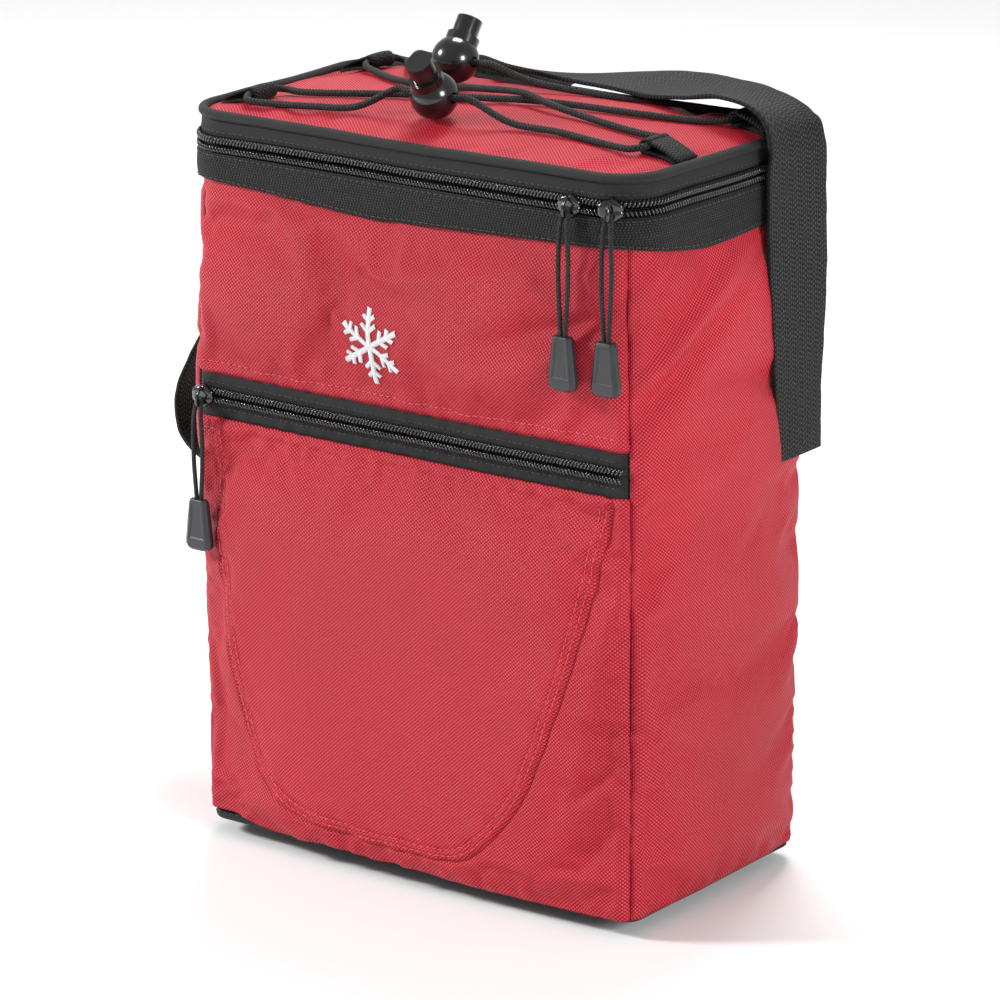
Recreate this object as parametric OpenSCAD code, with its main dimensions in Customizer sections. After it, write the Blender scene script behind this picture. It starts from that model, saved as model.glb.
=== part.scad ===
/* [Body] */
// Width of the bag over its side panels
body_w = 230; // [200:5:280]
// Depth of the bag over its front and back panels
body_d = 128; // [110:2:180]
// Height from the floor to the line where the main zip closes
zip_z = 305.3; // [290:0.1:360]
// Corner radius of the sewn body
body_corner_r = 8; // [5:1:12]
// Corner radius of the top band and the lid
lid_corner_r = 16; // [12:1:18]
// Thickness of the outer fabric
fabric_t = 1.2; // [0.8:0.1:1.5]
// Thickness of the foam boards
foam_t = 6; // [4:0.5:8]
// Thickness of the silver liner
liner_t = 0.8; // [0.5:0.1:1]

/* [Lid] */
// Height of the zipped edge wall of the lid
lid_wall_h = 10.4; // [9:0.1:12]
// Rise of the padded top above its edge
crown_h = 7; // [4:0.5:10]
// Radius of the piping round the lid
piping_r = 2.2; // [1.5:0.1:2.5]

/* [Zips] */
// Width of one row of coil teeth
coil_h = 3.35; // [2.5:0.05:4]
// How far the coil stands out from its tape
coil_t = 2.3; // [1.5:0.1:2.5]
// Length of a zip slider
slider_l = 10; // [8:0.5:12]
// Height of the top of the pocket zip opening
pocket_top_z = 204; // [180:1:220]
// Height of the bottom of the pocket zip opening
pocket_low_z = 185; // [160:1:200]

/* [Pulls] */
// Length of the braided loop between a main zip slider and its moulded end
loop_l = 50; // [35:1:60]
// Length of the braided loop of the pocket slider
pocket_loop_l = 42; // [35:1:60]
// Diameter of the braided loop
loop_d = 2; // [1.5:0.1:2.5]
// Length of a moulded pull end
pull_end_l = 23; // [18:1:28]
// Width of a moulded pull end at its wide foot
pull_end_w = 14; // [11:0.5:16]

/* [Lacing] */
// Diameter of the bungee cord
bungee_d = 3; // [2.5:0.1:3.4]
// Radius of the ball of a cord lock
lock_r = 10.3; // [9:0.1:11]
// Travel of a cord lock's button
button_travel = 3; // [2:0.5:3.5]

/* [Strap] */
// Width of the shoulder strap webbing
strap_w = 40; // [30:1:42]
// Thickness of the shoulder strap webbing
strap_t = 1.8; // [1.5:0.1:2.2]

/* [Hidden] */
$fn = 48;

gap = 0.3;      // running gap between pieces that move apart
touch = 0.1;    // gap between layers sewn together
hx = body_w / 2;
hy = body_d / 2;

// The base, from the floor up.
base_t = 1.5;
wall_low_z = 4.4;
base_binding_r = 1.9;
foam_base_z = base_t + touch;
foam_base_t = 6;
liner_floor_z = foam_base_z + foam_base_t + touch;

// The walls, from the outside in.
pocket_gap = 2.2;
backing_t = 0.8;
backing_y = -hy + fabric_t + pocket_gap;
foam_front_y = backing_y + backing_t + touch;
shell_in = 1.5;     // how far the foam lies inside the body's outline
foam_side_x = hx - shell_in;
foam_back_y = hy - shell_in;
foam_corner = 7;    // how far the side boards stop short of the back
base_foam_in = 2.2;
backing_in = 3.5;   // how far the pocket's inner wall stops short of each side
liner_x = foam_side_x - foam_t - touch;
liner_back_y = foam_back_y - foam_t - touch;
liner_front_y = foam_front_y + foam_t + touch;
rim_z = 300;
band_low_z = 288;
band_top_z = zip_z - coil_h - 0.5;
band_t = 1.4;
band_out = 1;
tape_in = 0.6;      // how far the tape lies inside the body's outline
tape_t = 0.8;
zip_end_y = 46;     // where the main zip stops on each side

// The lid.
tape_top_z = zip_z + lid_wall_h - 0.6;
piping_z = zip_z + lid_wall_h + piping_r - 0.5;
edge_z = piping_z + 0.5;        // the height at which the crowned top starts
lid_in = 3.6;                   // how far the crowned top lies inside the body's outline
lid_foam_in = 4.4;
lid_liner_in = 7.2;
lid_foam_z = zip_z + 4.8;
lid_skin_t = 1.2;

// Zip sliders.
slider_h = 9.4;
slider_plate_t = 1.5;
coil_face_y = -hy + tape_in - coil_t - touch;
pocket_zip_z = (pocket_top_z + pocket_low_z) / 2;
slider_left_x = 85;
slider_right_x = 104;
slider_pocket_x = -108;
bridge_r = 1;
loop_gap = 5.4;     // width between the legs of a loop at its slider
pull_y = coil_face_y - gap - slider_plate_t - 2.9;
pull_drop = 3.6;    // from the zip's line down to the top of a loop's eye

// The laced cord, as a closed round of points on the lid: x, y, and its height over the padded top.
cord_lift = bungee_d / 2 + 0.8;
cross_lift = bungee_d + 0.8;
lock_front_at = [-6, -38, 333.4];
lock_rear_at = [-37, 18, 335.3];
lock_run = 20;      // half the stretch of cord between the points either side of a lock
lock_straight = 13; // half the part of that stretch which is quite straight
tab_w = 14;
tab_t = 1.3;
tab_front_left_y = -41;
tab_front_right_y = -24;
tab_rear_y = 41;
tab_eye_x = 96;
tab_root_x = 111;
tab_root_z = edge_z + 1.8;
tab_slack = 0.9;    // clearance round the cord in a tab
tab_lift = 4.3;     // height of the cord over the padded top where a tab holds it

// The shoulder strap's middle line and the direction across its width, from its right sewn end.
STRAP = [
    [[119.0, 52, 184], [0, 1, 0]], [[119.2, 52, 203], [0, 1, 0]], [[119.6, 51, 226], [0, 1, 0]],
    [[120.0, 50, 250], [0, 1, 0]], [[120.2, 49, 275], [0, 1, 0]], [[120.4, 49, 300], [0, 1, 0]],
    [[120.4, 49, 314], [0, 1, 0]], [[119.2, 49, 323.8], [0, 1, 0]], [[114.4, 49, 330.1], [0, 1, 0]],
    [[106, 50, 332.7], [0, 1, 0.05]], [[92, 51, 333.2], [0, 1, 0.08]], [[75, 53, 332.8], [0, 1, 0.1]],
    [[55, 56, 332], [0, 1, 0.1]], [[35, 59, 331], [0, 1, 0]], [[15, 61, 330], [0, 1, -0.1]],
    [[-5, 63.5, 328], [0, 1, -0.25]], [[-25, 67, 325], [0.05, 0.9, -0.45]],
    [[-43, 71, 319], [0.15, 0.75, -0.65]], [[-60, 74.5, 309], [0.35, 0.45, -0.8]],
    [[-77, 75.5, 295], [0.6, 0.2, -0.75]], [[-96, 75, 279], [0.7, 0.15, -0.7]],
    [[-117, 74, 260], [0.7, 0.25, -0.66]], [[-140, 70.5, 239], [0.65, 0.5, -0.6]],
    [[-164, 65, 216], [0.45, 0.8, -0.4]], [[-188, 59, 191], [0.2, 0.97, -0.15]],
    [[-203, 54, 169], [0.05, 1, 0]], [[-207, 51, 151], [0, 1, 0]], [[-200, 49, 136], [0, 1, 0]],
    [[-184, 48, 129], [0, 1, 0]], [[-165, 48, 132], [0, 1, 0]], [[-147, 49, 143], [0, 1, 0]],
    [[-131, 50, 158], [0, 1, 0]], [[-121.5, 51.5, 175], [0, 1, 0]], [[-119, 52, 195], [0, 1, 0]]];
strap_pivot = [0, 52, 190];
strap_end_z = 182;
strap_end_h = 20;

// ---- plain geometry ----

function unit(v) = v / norm(v);
function catmull(a, b, c, d, t) =
    0.5 * (2 * b + (c - a) * t + (2 * a - 5 * b + 4 * c - d) * t * t + (3 * b - a - 3 * c + d) * t * t * t);

// Points on a smooth line through open points, with steps parts between each two.
function smooth_open(p, steps) = let (n = len(p)) concat(
    [for (i = [0:n - 2], k = [0:steps - 1])
        catmull(p[max(i - 1, 0)], p[i], p[i + 1], p[min(i + 2, n - 1)], k / steps)],
    [p[n - 1]]);

// Points on a smooth closed line.
function smooth_round(p, steps) = let (n = len(p))
    [for (i = [0:n - 1], k = [0:steps - 1])
        catmull(p[(i + n - 1) % n], p[i], p[(i + 1) % n], p[(i + 2) % n], k / steps)];

// Faces that join rings of m points each; a closed sweep joins its last ring to its first.
function sweep_faces(rings, m, closed) = concat(
    [for (i = [0:(closed ? rings - 1 : rings - 2)], j = [0:m - 1])
        let (a = i * m, b = ((i + 1) % rings) * m, k = (j + 1) % m)
        each [[a + j, b + j, b + k], [a + j, b + k, a + k]]],
    closed ? [] : [[for (j = [0:m - 1]) j], [for (j = [m - 1:-1:0]) (rings - 1) * m + j]]);

// A round tube along a line that never runs straight up.
module round_tube(line, r, sides, closed) {
    n = len(line);
    points = [for (i = [0:n - 1])
        let (after = closed ? (i + 1) % n : min(i + 1, n - 1),
            before = closed ? (i + n - 1) % n : max(i - 1, 0),
            t = unit(line[after] - line[before]),
            u = unit(cross([0, 0, 1], t)), v = cross(t, u))
        each [for (j = [0:sides - 1])
            line[i] + r * (cos(360 * j / sides) * u + sin(360 * j / sides) * v)]];
    polyhedron(points, sweep_faces(n, sides, closed), convexity = 10);
}

// A flat band along an open line, with the direction across its width given at each point.
module flat_band(stations, w, t, steps) {
    line = smooth_open([for (s = stations) s[0]], steps);
    across = smooth_open([for (s = stations) s[1]], steps);
    n = len(line);
    points = [for (i = [0:n - 1])
        let (d = unit(line[min(i + 1, n - 1)] - line[max(i - 1, 0)]),
            a = unit(across[i] - (across[i] * d) * d), o = cross(d, a))
        each [line[i] - a * w / 2 - o * t / 2, line[i] + a * w / 2 - o * t / 2,
            line[i] + a * w / 2 + o * t / 2, line[i] - a * w / 2 + o * t / 2]];
    polyhedron(points, sweep_faces(n, 4, false), convexity = 10);
}

module rounded_rect(x, y, r) {
    square([2 * x, 2 * (y - r)], center = true);
    square([2 * (x - r), 2 * y], center = true);
    for (sx = [-1, 1], sy = [-1, 1])
        translate([sx * (x - r), sy * (y - r)]) circle(r);
}

// An upright wall that follows a rounded rectangle; inset is how far its outer face lies inside
// the body's outline.
module ring_wall(inset, t, r, z, h) {
    translate([0, 0, z]) linear_extrude(h) difference() {
        rounded_rect(hx - inset, hy - inset, r - inset);
        rounded_rect(hx - inset - t, hy - inset - t, max(r - inset - t, 1));
    }
}

// The four sides of such a wall, split at its corners.
module front_wedge(z, h) {
    reach = 3;
    inner = 24;
    translate([0, 0, z]) linear_extrude(h)
        polygon([[-hx - reach, -hy - reach], [hx + reach, -hy - reach],
            [hx - inner, -hy + inner], [-hx + inner, -hy + inner]]);
}

module side_wedge(z, h) {
    reach = 3;
    inner = 24;
    translate([0, 0, z]) linear_extrude(h)
        polygon([[hx + reach, -hy - reach], [hx + reach, hy + reach],
            [hx - inner, hy - inner], [hx - inner, -hy + inner]]);
}

// Everything in front of the main zip's ends.
module zip_side() {
    translate([-hx - 5, -hy - 5, zip_z - 40]) cube([body_w + 10, hy + 5 + zip_end_y, 80]);
}

// Everything behind the main zip's ends.
module hinge_side() {
    translate([-hx - 5, zip_end_y + touch, zip_z - 40]) cube([body_w + 10, hy, 80]);
}

module board(low, high) {
    translate(low) cube(high - low);
}

// ---- the sewn body ----

module front_upper_panel() {
    color("crimson") intersection() {
        ring_wall(0, fabric_t, body_corner_r, pocket_top_z, band_low_z - touch - pocket_top_z);
        front_wedge(pocket_top_z - 1, band_low_z);
    }
}

module pocket_panel() {
    color("crimson") intersection() {
        ring_wall(0, fabric_t, body_corner_r, wall_low_z, pocket_low_z - wall_low_z);
        front_wedge(0, pocket_low_z + 1);
    }
}

module pocket_backing() {
    color("firebrick") board([-hx + backing_in, backing_y, wall_low_z],
        [hx - backing_in, backing_y + backing_t, band_low_z - touch]);
}

module side_panel() {
    intersection() {
        ring_wall(0, fabric_t, body_corner_r, wall_low_z, band_low_z - touch - wall_low_z);
        side_wedge(0, band_low_z);
    }
}

module left_side_panel() {
    color("crimson") mirror([1, 0, 0]) side_panel();
}

module right_side_panel() {
    color("crimson") side_panel();
}

module back_panel() {
    color("crimson") intersection() {
        ring_wall(0, fabric_t, body_corner_r, wall_low_z, band_low_z - touch - wall_low_z);
        mirror([0, 1, 0]) front_wedge(0, band_low_z);
    }
}

module base_panel() {
    color("black") linear_extrude(base_t) rounded_rect(hx - 2, hy - 2, body_corner_r);
}

// A round piping that follows a rounded rectangle.
module piping(x, y, corner_r, tube_r) {
    for (s = [-1, 1]) {
        translate([s * x, 0, 0]) rotate([90, 0, 0])
            cylinder(h = 2 * (y - corner_r), r = tube_r, center = true);
        translate([0, s * y, 0]) rotate([0, 90, 0])
            cylinder(h = 2 * (x - corner_r), r = tube_r, center = true);
    }
    for (q = [[1, 1, 0], [-1, 1, 90], [-1, -1, 180], [1, -1, 270]])
        translate([q[0] * (x - corner_r), q[1] * (y - corner_r), 0]) rotate([0, 0, q[2]])
            rotate_extrude(angle = 90) translate([corner_r, 0]) circle(tube_r);
}

module base_binding() {
    color("black") translate([0, 0, base_binding_r + 0.4])
        piping(hx - 0.1, hy - 0.1, body_corner_r, base_binding_r);
}

module top_band() {
    color([0.09, 0.09, 0.09]) ring_wall(-band_out, band_t, lid_corner_r, band_low_z, band_top_z - band_low_z);
}

// A foam board, with its outer corners rounded to fit inside the top band.
module foam_board(low, high, inset) {
    color("whitesmoke") intersection() {
        board(low, high);
        linear_extrude(zip_z) rounded_rect(hx - inset, hy - inset, lid_corner_r - inset);
    }
}

module foam_front() {
    foam_board([-foam_side_x, foam_front_y, foam_base_z + foam_base_t],
        [foam_side_x, foam_front_y + foam_t, rim_z], shell_in);
}

module foam_back() {
    foam_board([-foam_side_x + foam_corner, foam_back_y - foam_t, foam_base_z + foam_base_t],
        [foam_side_x - foam_corner, foam_back_y, rim_z], shell_in);
}

module foam_side() {
    foam_board([foam_side_x - foam_t, foam_front_y + foam_t + touch, foam_base_z + foam_base_t],
        [foam_side_x, foam_back_y - foam_corner, rim_z], shell_in);
}

module foam_left() {
    mirror([1, 0, 0]) foam_side();
}

module foam_right() {
    foam_side();
}

module foam_base() {
    foam_board([-hx, foam_front_y, foam_base_z], [hx, hy, foam_base_z + foam_base_t - touch],
        base_foam_in);
}

module liner() {
    color("silver") difference() {
        board([-liner_x, liner_front_y, liner_floor_z], [liner_x, liner_back_y, rim_z]);
        board([-liner_x + liner_t, liner_front_y + liner_t, liner_floor_z + liner_t],
            [liner_x - liner_t, liner_back_y - liner_t, rim_z + 1]);
    }
}

// Black binding that closes the foam between the liner and the outer fabric.
module rim_binding() {
    rim_t = 1.6;
    inset = 2.2;
    color("black") difference() {
        translate([0, 0, rim_z + touch]) linear_extrude(rim_t)
            rounded_rect(hx - inset, hy - inset, lid_corner_r - inset);
        board([-liner_x + liner_t, liner_front_y + liner_t, rim_z - 1],
            [liner_x - liner_t, liner_back_y - liner_t, rim_z + rim_t + 1]);
    }
}

module hinge_strip() {
    color("black") intersection() {
        ring_wall(-0.8, 1.2, lid_corner_r, band_top_z + touch, zip_z - 0.15 - band_top_z - touch);
        hinge_side();
    }
}

// ---- the main zip ----

module lower_zip_tape() {
    color("black") intersection() {
        ring_wall(tape_in, tape_t, lid_corner_r, band_low_z + 1, zip_z - 0.3 - band_low_z - 1);
        zip_side();
    }
}

module coil_ring(z) {
    intersection() {
        ring_wall(tape_in - coil_t - touch, coil_t, lid_corner_r, z, coil_h);
        zip_side();
    }
}

module lower_zip_coil() {
    color([0.06, 0.06, 0.06]) coil_ring(zip_z - 0.15 - coil_h);
}

module upper_zip_coil() {
    color([0.06, 0.06, 0.06]) coil_ring(zip_z + 0.15);
}

module upper_zip_tape() {
    color("black") intersection() {
        ring_wall(tape_in, tape_t, lid_corner_r, zip_z + 0.3, tape_top_z - zip_z - 0.3);
        zip_side();
    }
}

// ---- the lid ----

module lid_rear_strip() {
    color("black") intersection() {
        ring_wall(tape_in, tape_t, lid_corner_r, zip_z + 0.3, tape_top_z - zip_z - 0.3);
        hinge_side();
    }
}

// One quarter turn of a rounded rectangle's outline at a time, starting at its front right corner.
function outline(x, y, r, per_corner) = [for (q = [[1, -1, -90], [1, 1, 0], [-1, 1, 90], [-1, -1, 180]],
    k = [0:per_corner]) [q[0] * (x - r) + r * cos(q[2] + 90 * k / per_corner),
        q[1] * (y - r) + r * sin(q[2] + 90 * k / per_corner)]];

// Height of the padded top at a share s of the way from its middle to its edge.
function crown_z(s, drop) = edge_z - drop + crown_h * (1 - s * s);

// A padded top: a flat or crowned underside and a crowned upper side over the same outline.
module crowned(inset, low_z, drop, hollow) {
    per_corner = 6;
    rounds = 7;
    edge = outline(hx - inset, hy - inset, lid_corner_r - inset, per_corner);
    m = len(edge);
    share = [for (k = [0:rounds - 1]) 1 - k / rounds];
    top = [for (s = share) each [for (p = edge) [s * p[0], s * p[1], crown_z(s, drop)]]];
    under = [for (s = share) each [for (p = edge) [s * p[0], s * p[1],
        hollow ? crown_z(s, drop + lid_skin_t) : low_z]]];
    points = concat(top, under, [[0, 0, crown_z(0, drop)]],
        [[0, 0, hollow ? crown_z(0, drop + lid_skin_t) : low_z]]);
    off = rounds * m;
    faces = concat(
        [for (k = [0:rounds - 2], j = [0:m - 1]) let (a = k * m, b = a + m, n = (j + 1) % m)
            each [[a + j, b + j, b + n], [a + j, b + n, a + n]]],
        [for (k = [0:rounds - 2], j = [0:m - 1]) let (a = off + k * m, b = a + m, n = (j + 1) % m)
            each [[a + j, b + n, b + j], [a + j, a + n, b + n]]],
        [for (j = [0:m - 1]) let (n = (j + 1) % m) each [[j, n, off + n], [j, off + n, off + j]]],
        [for (j = [0:m - 1]) let (n = (j + 1) % m, a = (rounds - 1) * m)
            each [[a + j, 2 * off, a + n], [off + a + j, off + a + n, 2 * off + 1]]]);
    polyhedron(points, faces, convexity = 6);
}

module lid_panel() {
    color("crimson") crowned(lid_in, 0, 0, true);
}

module lid_foam() {
    color("whitesmoke") crowned(lid_foam_in, lid_foam_z, lid_skin_t + touch, false);
}

module lid_liner() {
    color("silver") translate([0, 0, lid_foam_z - liner_t - touch]) linear_extrude(liner_t)
        rounded_rect(hx - lid_liner_in, hy - lid_liner_in, lid_corner_r - lid_liner_in);
}

module lid_piping() {
    color("black") translate([0, 0, piping_z])
        piping(hx - 0.8, hy - 0.8, lid_corner_r, piping_r);
}

// ---- the pocket zip ----

// A strip across the front between two heights.
module front_strip(z0, z1) {
    intersection() {
        ring_wall(tape_in, tape_t, body_corner_r, z0, z1 - z0);
        front_wedge(z0 - 1, z1 - z0 + 2);
    }
}

module pocket_tape_upper() {
    color("black") front_strip(pocket_zip_z + 0.1, pocket_top_z - 0.1);
}

module pocket_tape_lower() {
    color("black") front_strip(pocket_low_z + 0.1, pocket_zip_z - 0.1);
}

module pocket_coil(z) {
    end_gap = 4;
    color([0.06, 0.06, 0.06]) board([-hx + end_gap, coil_face_y, z],
        [hx - end_gap, coil_face_y + coil_t, z + coil_h]);
}

module pocket_coil_upper() {
    pocket_coil(pocket_zip_z + 0.05);
}

module pocket_coil_lower() {
    pocket_coil(pocket_zip_z - 0.05 - coil_h);
}

// ---- sliders and pulls ----

// The slider's face plate, with a lip under the lower row of teeth.
module slider_body(x, z) {
    flange_t = 1.1;
    flange_lip = 0.3;
    plate_y = coil_face_y - gap - slider_plate_t;
    flange_z = z - 0.15 - coil_h - gap - flange_t;
    color([0.05, 0.05, 0.05]) {
        difference() {
            translate([x, plate_y, z]) rotate([-90, 0, 0]) linear_extrude(slider_plate_t) union() {
                square([slider_l - 4, slider_h], center = true);
                square([slider_l, slider_h - 4], center = true);
                for (sx = [-1, 1], sz = [-1, 1])
                    translate([sx * (slider_l / 2 - 2), sz * (slider_h / 2 - 2)]) circle(2);
            }
            translate([x - slider_l, plate_y - 1, flange_z - 5]) cube([2 * slider_l, 9, 5]);
        }
        translate([x - slider_l / 2 + 2, plate_y + 0.4, flange_z])
            cube([slider_l - 4, slider_plate_t + flange_lip, flange_t]);
    }
}

// The wire eye on the slider that the braided loop hangs from.
module slider_bridge(x, z) {
    eye_out = pull_y;
    eye_half = slider_l / 2 - 1.4;
    foot_y = coil_face_y - gap - slider_plate_t;
    arm_t = 1.2;
    arm_out = 2.9;
    arm_h = 8;
    color([0.12, 0.12, 0.12]) for (s = [-1, 1])
        translate([x + s * eye_half - arm_t / 2, foot_y - touch - arm_out, z - pull_drop - bridge_r])
            cube([arm_t, arm_out, arm_h]);
    color([0.12, 0.12, 0.12]) translate([x, eye_out, z - pull_drop]) rotate([0, 90, 0])
        cylinder(h = 2 * eye_half + arm_t, r = bridge_r, center = true);
}

// The braided loop: an eye round the bridge and two legs down to the moulded end.
module pull_loop(x, z, length) {
    eye_r = bridge_r + gap;
    top = z - pull_drop;
    color([0.1, 0.1, 0.1]) {
        translate([x, pull_y, top]) rotate([0, 90, 0]) difference() {
            cylinder(h = loop_gap, r = eye_r + loop_d * 0.6, center = true);
            cylinder(h = loop_gap + 2, r = eye_r, center = true);
        }
        for (s = [-1, 1])
            translate([x + s * (loop_gap / 2 - loop_d / 2), pull_y, top - length])
                cylinder(h = length - eye_r - loop_d * 0.3, d = loop_d);
    }
}

// The moulded end: narrow where the loop goes in, wide and round at its foot.
module pull_end(x, z, length) {
    top_w = pull_end_w * 0.68;
    t = 5;
    foot_r = 3;
    color([0.22, 0.22, 0.24])
        translate([x, pull_y + t / 2, z - pull_drop - length - pull_end_l])
        rotate([90, 0, 0]) linear_extrude(t) union() {
            polygon([[-pull_end_w / 2, foot_r], [pull_end_w / 2, foot_r], [top_w / 2, pull_end_l],
                [-top_w / 2, pull_end_l]]);
            translate([-pull_end_w / 2 + foot_r, 0]) square([pull_end_w - 2 * foot_r, foot_r + 0.1]);
            for (s = [-1, 1]) translate([s * (pull_end_w / 2 - foot_r), foot_r]) circle(foot_r);
        }
}

// ---- the lacing ----

// Height of the padded top of the lid at a place.
function top_z(x, y) = let (s = max(abs(x) / (hx - lid_in), abs(y) / (hy - lid_in))) crown_z(min(s, 1), 0);
function on_top(x, y, lift) = [x, y, top_z(x, y) + lift];

// The two ends of the fold of a webbing tab, where the cord goes in and comes out.
function tab_mouth(sx, ty, side) = on_top(sx * tab_eye_x, ty + side * (tab_w / 2 + 1.5), tab_lift);
function tab_middle(sx, ty, side) = [sx * tab_eye_x, ty + side * tab_w / 4,
    top_z(tab_eye_x, abs(ty)) + tab_lift];

CORD = [
    tab_middle(-1, tab_front_left_y, -1), tab_mouth(-1, tab_front_left_y, -1),
    on_top(-93, -53, cord_lift + 0.8), on_top(-84, -51, cord_lift), on_top(-62, -47, cord_lift),
    on_top(-42, -44, cord_lift + 1.5),
    lock_front_at - [lock_run, 0, 0], lock_front_at - [lock_straight, 0, 0], lock_front_at,
    lock_front_at + [lock_straight, 0, 0], lock_front_at + [lock_run, 0, 0],
    on_top(32, -36, cord_lift + 1.5), on_top(55, -34, cord_lift), on_top(80, -36, cord_lift),
    on_top(91, -36.5, cord_lift + 0.8),
    tab_mouth(1, tab_front_right_y, -1), tab_middle(1, tab_front_right_y, -1),
    tab_middle(1, tab_front_right_y, 1), tab_mouth(1, tab_front_right_y, 1),
    on_top(91, -11, cord_lift + 0.8), on_top(80, -11, cord_lift), on_top(58, -9, cord_lift),
    on_top(30, -5, cord_lift + 1.5),
    on_top(12, 0, cord_lift + cross_lift), on_top(-12, 2, cord_lift + 1.5), on_top(-36, 3, cord_lift),
    on_top(-60, 8, cord_lift), on_top(-82, 22, cord_lift), on_top(-92, 28, cord_lift + 0.8),
    tab_mouth(-1, tab_rear_y, -1), tab_middle(-1, tab_rear_y, -1), tab_middle(-1, tab_rear_y, 1),
    tab_mouth(-1, tab_rear_y, 1), on_top(-92, 53, cord_lift + 0.8), on_top(-84, 47, cord_lift + 1),
    on_top(-72, 31, cord_lift + 2.5),
    lock_rear_at - [lock_run, 0, 0], lock_rear_at - [lock_straight, 0, 0], lock_rear_at,
    lock_rear_at + [lock_straight, 0, 0], lock_rear_at + [lock_run, 0, 0],
    on_top(0, 26, cord_lift + 2.5), on_top(28, 38, cord_lift), on_top(60, 48, cord_lift),
    on_top(82, 53, cord_lift), on_top(91, 53.5, cord_lift + 0.8),
    tab_mouth(1, tab_rear_y, 1), tab_middle(1, tab_rear_y, 1),
    tab_middle(1, tab_rear_y, -1), tab_mouth(1, tab_rear_y, -1), on_top(91, 28, cord_lift + 0.8),
    on_top(80, 22, cord_lift), on_top(56, 12, cord_lift), on_top(32, 6, cord_lift),
    on_top(12, 0, cord_lift), on_top(-12, -10, cord_lift), on_top(-36, -18, cord_lift),
    on_top(-60, -26, cord_lift), on_top(-82, -29, cord_lift), on_top(-92, -28, cord_lift + 0.8),
    tab_mouth(-1, tab_front_left_y, 1), tab_middle(-1, tab_front_left_y, 1)];

module bungee_cord() {
    color([0.08, 0.08, 0.08]) round_tube(smooth_round(CORD, 2), bungee_d / 2, 8, true);
}

// A tab of webbing sewn into the lid's edge and folded round the cord.
module lacing_tab(sx, ty) {
    z = top_z(tab_eye_x, abs(ty)) + tab_lift;
    run = tab_root_x - tab_eye_x;
    slope = atan2(z - tab_root_z, run);
    eye_r = bungee_d / 2 + tab_slack;
    start = eye_r + 0.3;
    color([0.1, 0.1, 0.1]) difference() {
        union() {
            translate([sx * tab_eye_x, ty, z]) rotate([90, 0, 0])
                cylinder(h = tab_w, r = eye_r + tab_t, center = true);
            translate([sx * tab_eye_x, ty, z]) rotate([0, sx * slope, 0])
                translate([sx > 0 ? start : -run, -tab_w / 2, -tab_t])
                    cube([run - start, tab_w, 2 * tab_t]);
        }
        translate([sx * tab_eye_x, ty, z]) rotate([90, 0, 0])
            cylinder(h = tab_w + 2, r = eye_r, center = true);
    }
}

// A cord lock's own axis leans; these place a shape built along +Z on it.
lock_lean = 35;
lock_bore_r = bungee_d / 2 + 0.9;
button_r = 5.6;
button_reach = 19;
slot_low = -2.2;
slot_high = 2.2 + button_travel;
button_low = -4.2;
well_low = -7.6;

module on_lock(at, turn) {
    translate(at) rotate([turn, 0, 0]) children();
}

module lock_body(at, turn) {
    color([0.07, 0.07, 0.07]) on_lock(at, turn) difference() {
        union() {
            sphere(lock_r);
            cylinder(h = lock_r + 0.6, r = button_r + 1.6);
        }
        translate([0, 0, well_low]) cylinder(h = 2 * lock_r + 5, r = button_r + 0.15);
        rotate([0, 90, 0]) cylinder(h = 3 * lock_r, r = lock_bore_r, center = true);
    }
}

module lock_button(at, turn) {
    color([0.09, 0.09, 0.09]) on_lock(at, turn) difference() {
        translate([0, 0, button_low]) cylinder(h = button_reach - button_low, r = button_r);
        translate([-2 * button_r, -lock_bore_r + 0.3, slot_low])
            cube([4 * button_r, 2 * lock_bore_r - 0.6, slot_high - slot_low]);
    }
}

// The coil spring under the button.
module lock_spring(at, turn) {
    wire_r = 0.35;
    coil_r = 3.4;
    turns = 2.5;
    per_turn = 14;
    low = well_low + touch + wire_r;
    rise = button_low - touch - wire_r - low;
    steps = turns * per_turn;
    line = [for (k = [0:steps]) [coil_r * cos(360 * k / per_turn), coil_r * sin(360 * k / per_turn),
        low + rise * k / steps]];
    color("silver") on_lock(at, turn) round_tube(line, wire_r, 6, false);
}

// ---- the shoulder strap ----

module shoulder_strap() {
    color([0.11, 0.11, 0.11]) flat_band(STRAP, strap_w, strap_t, 2);
}

// The end of the webbing that is folded under and sewn to the side panel.
module strap_end() {
    board([hx + touch, strap_pivot[1] - strap_w / 2 + 2, strap_end_z],
        [hx + touch + strap_t, strap_pivot[1] + strap_w / 2 - 10, strap_end_z + strap_end_h]);
}

module strap_end_left() {
    color([0.11, 0.11, 0.11]) mirror([1, 0, 0]) strap_end();
}

module strap_end_right() {
    color([0.11, 0.11, 0.11]) strap_end();
}

front_upper_panel();
pocket_panel();
pocket_backing();
left_side_panel();
right_side_panel();
back_panel();
base_panel();
base_binding();
top_band();
foam_front();
foam_back();
foam_left();
foam_right();
foam_base();
liner();
rim_binding();
hinge_strip();
lower_zip_tape();
lower_zip_coil();
upper_zip_coil();
upper_zip_tape();
lid_rear_strip();
lid_panel();
lid_piping();
lid_foam();
lid_liner();
pocket_tape_upper();
pocket_tape_lower();
pocket_coil_upper();
pocket_coil_lower();
slider_body(slider_left_x, zip_z);  // slider_left
slider_body(slider_right_x, zip_z);  // slider_right
slider_body(slider_pocket_x, pocket_zip_z);  // slider_pocket
slider_bridge(slider_left_x, zip_z);  // bridge_left
slider_bridge(slider_right_x, zip_z);  // bridge_right
slider_bridge(slider_pocket_x, pocket_zip_z);  // bridge_pocket
pull_loop(slider_left_x, zip_z, loop_l);  // loop_left
pull_loop(slider_right_x, zip_z, loop_l);  // loop_right
pull_loop(slider_pocket_x, pocket_zip_z, pocket_loop_l);  // loop_pocket
pull_end(slider_left_x, zip_z, loop_l);  // pull_end_left
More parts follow.
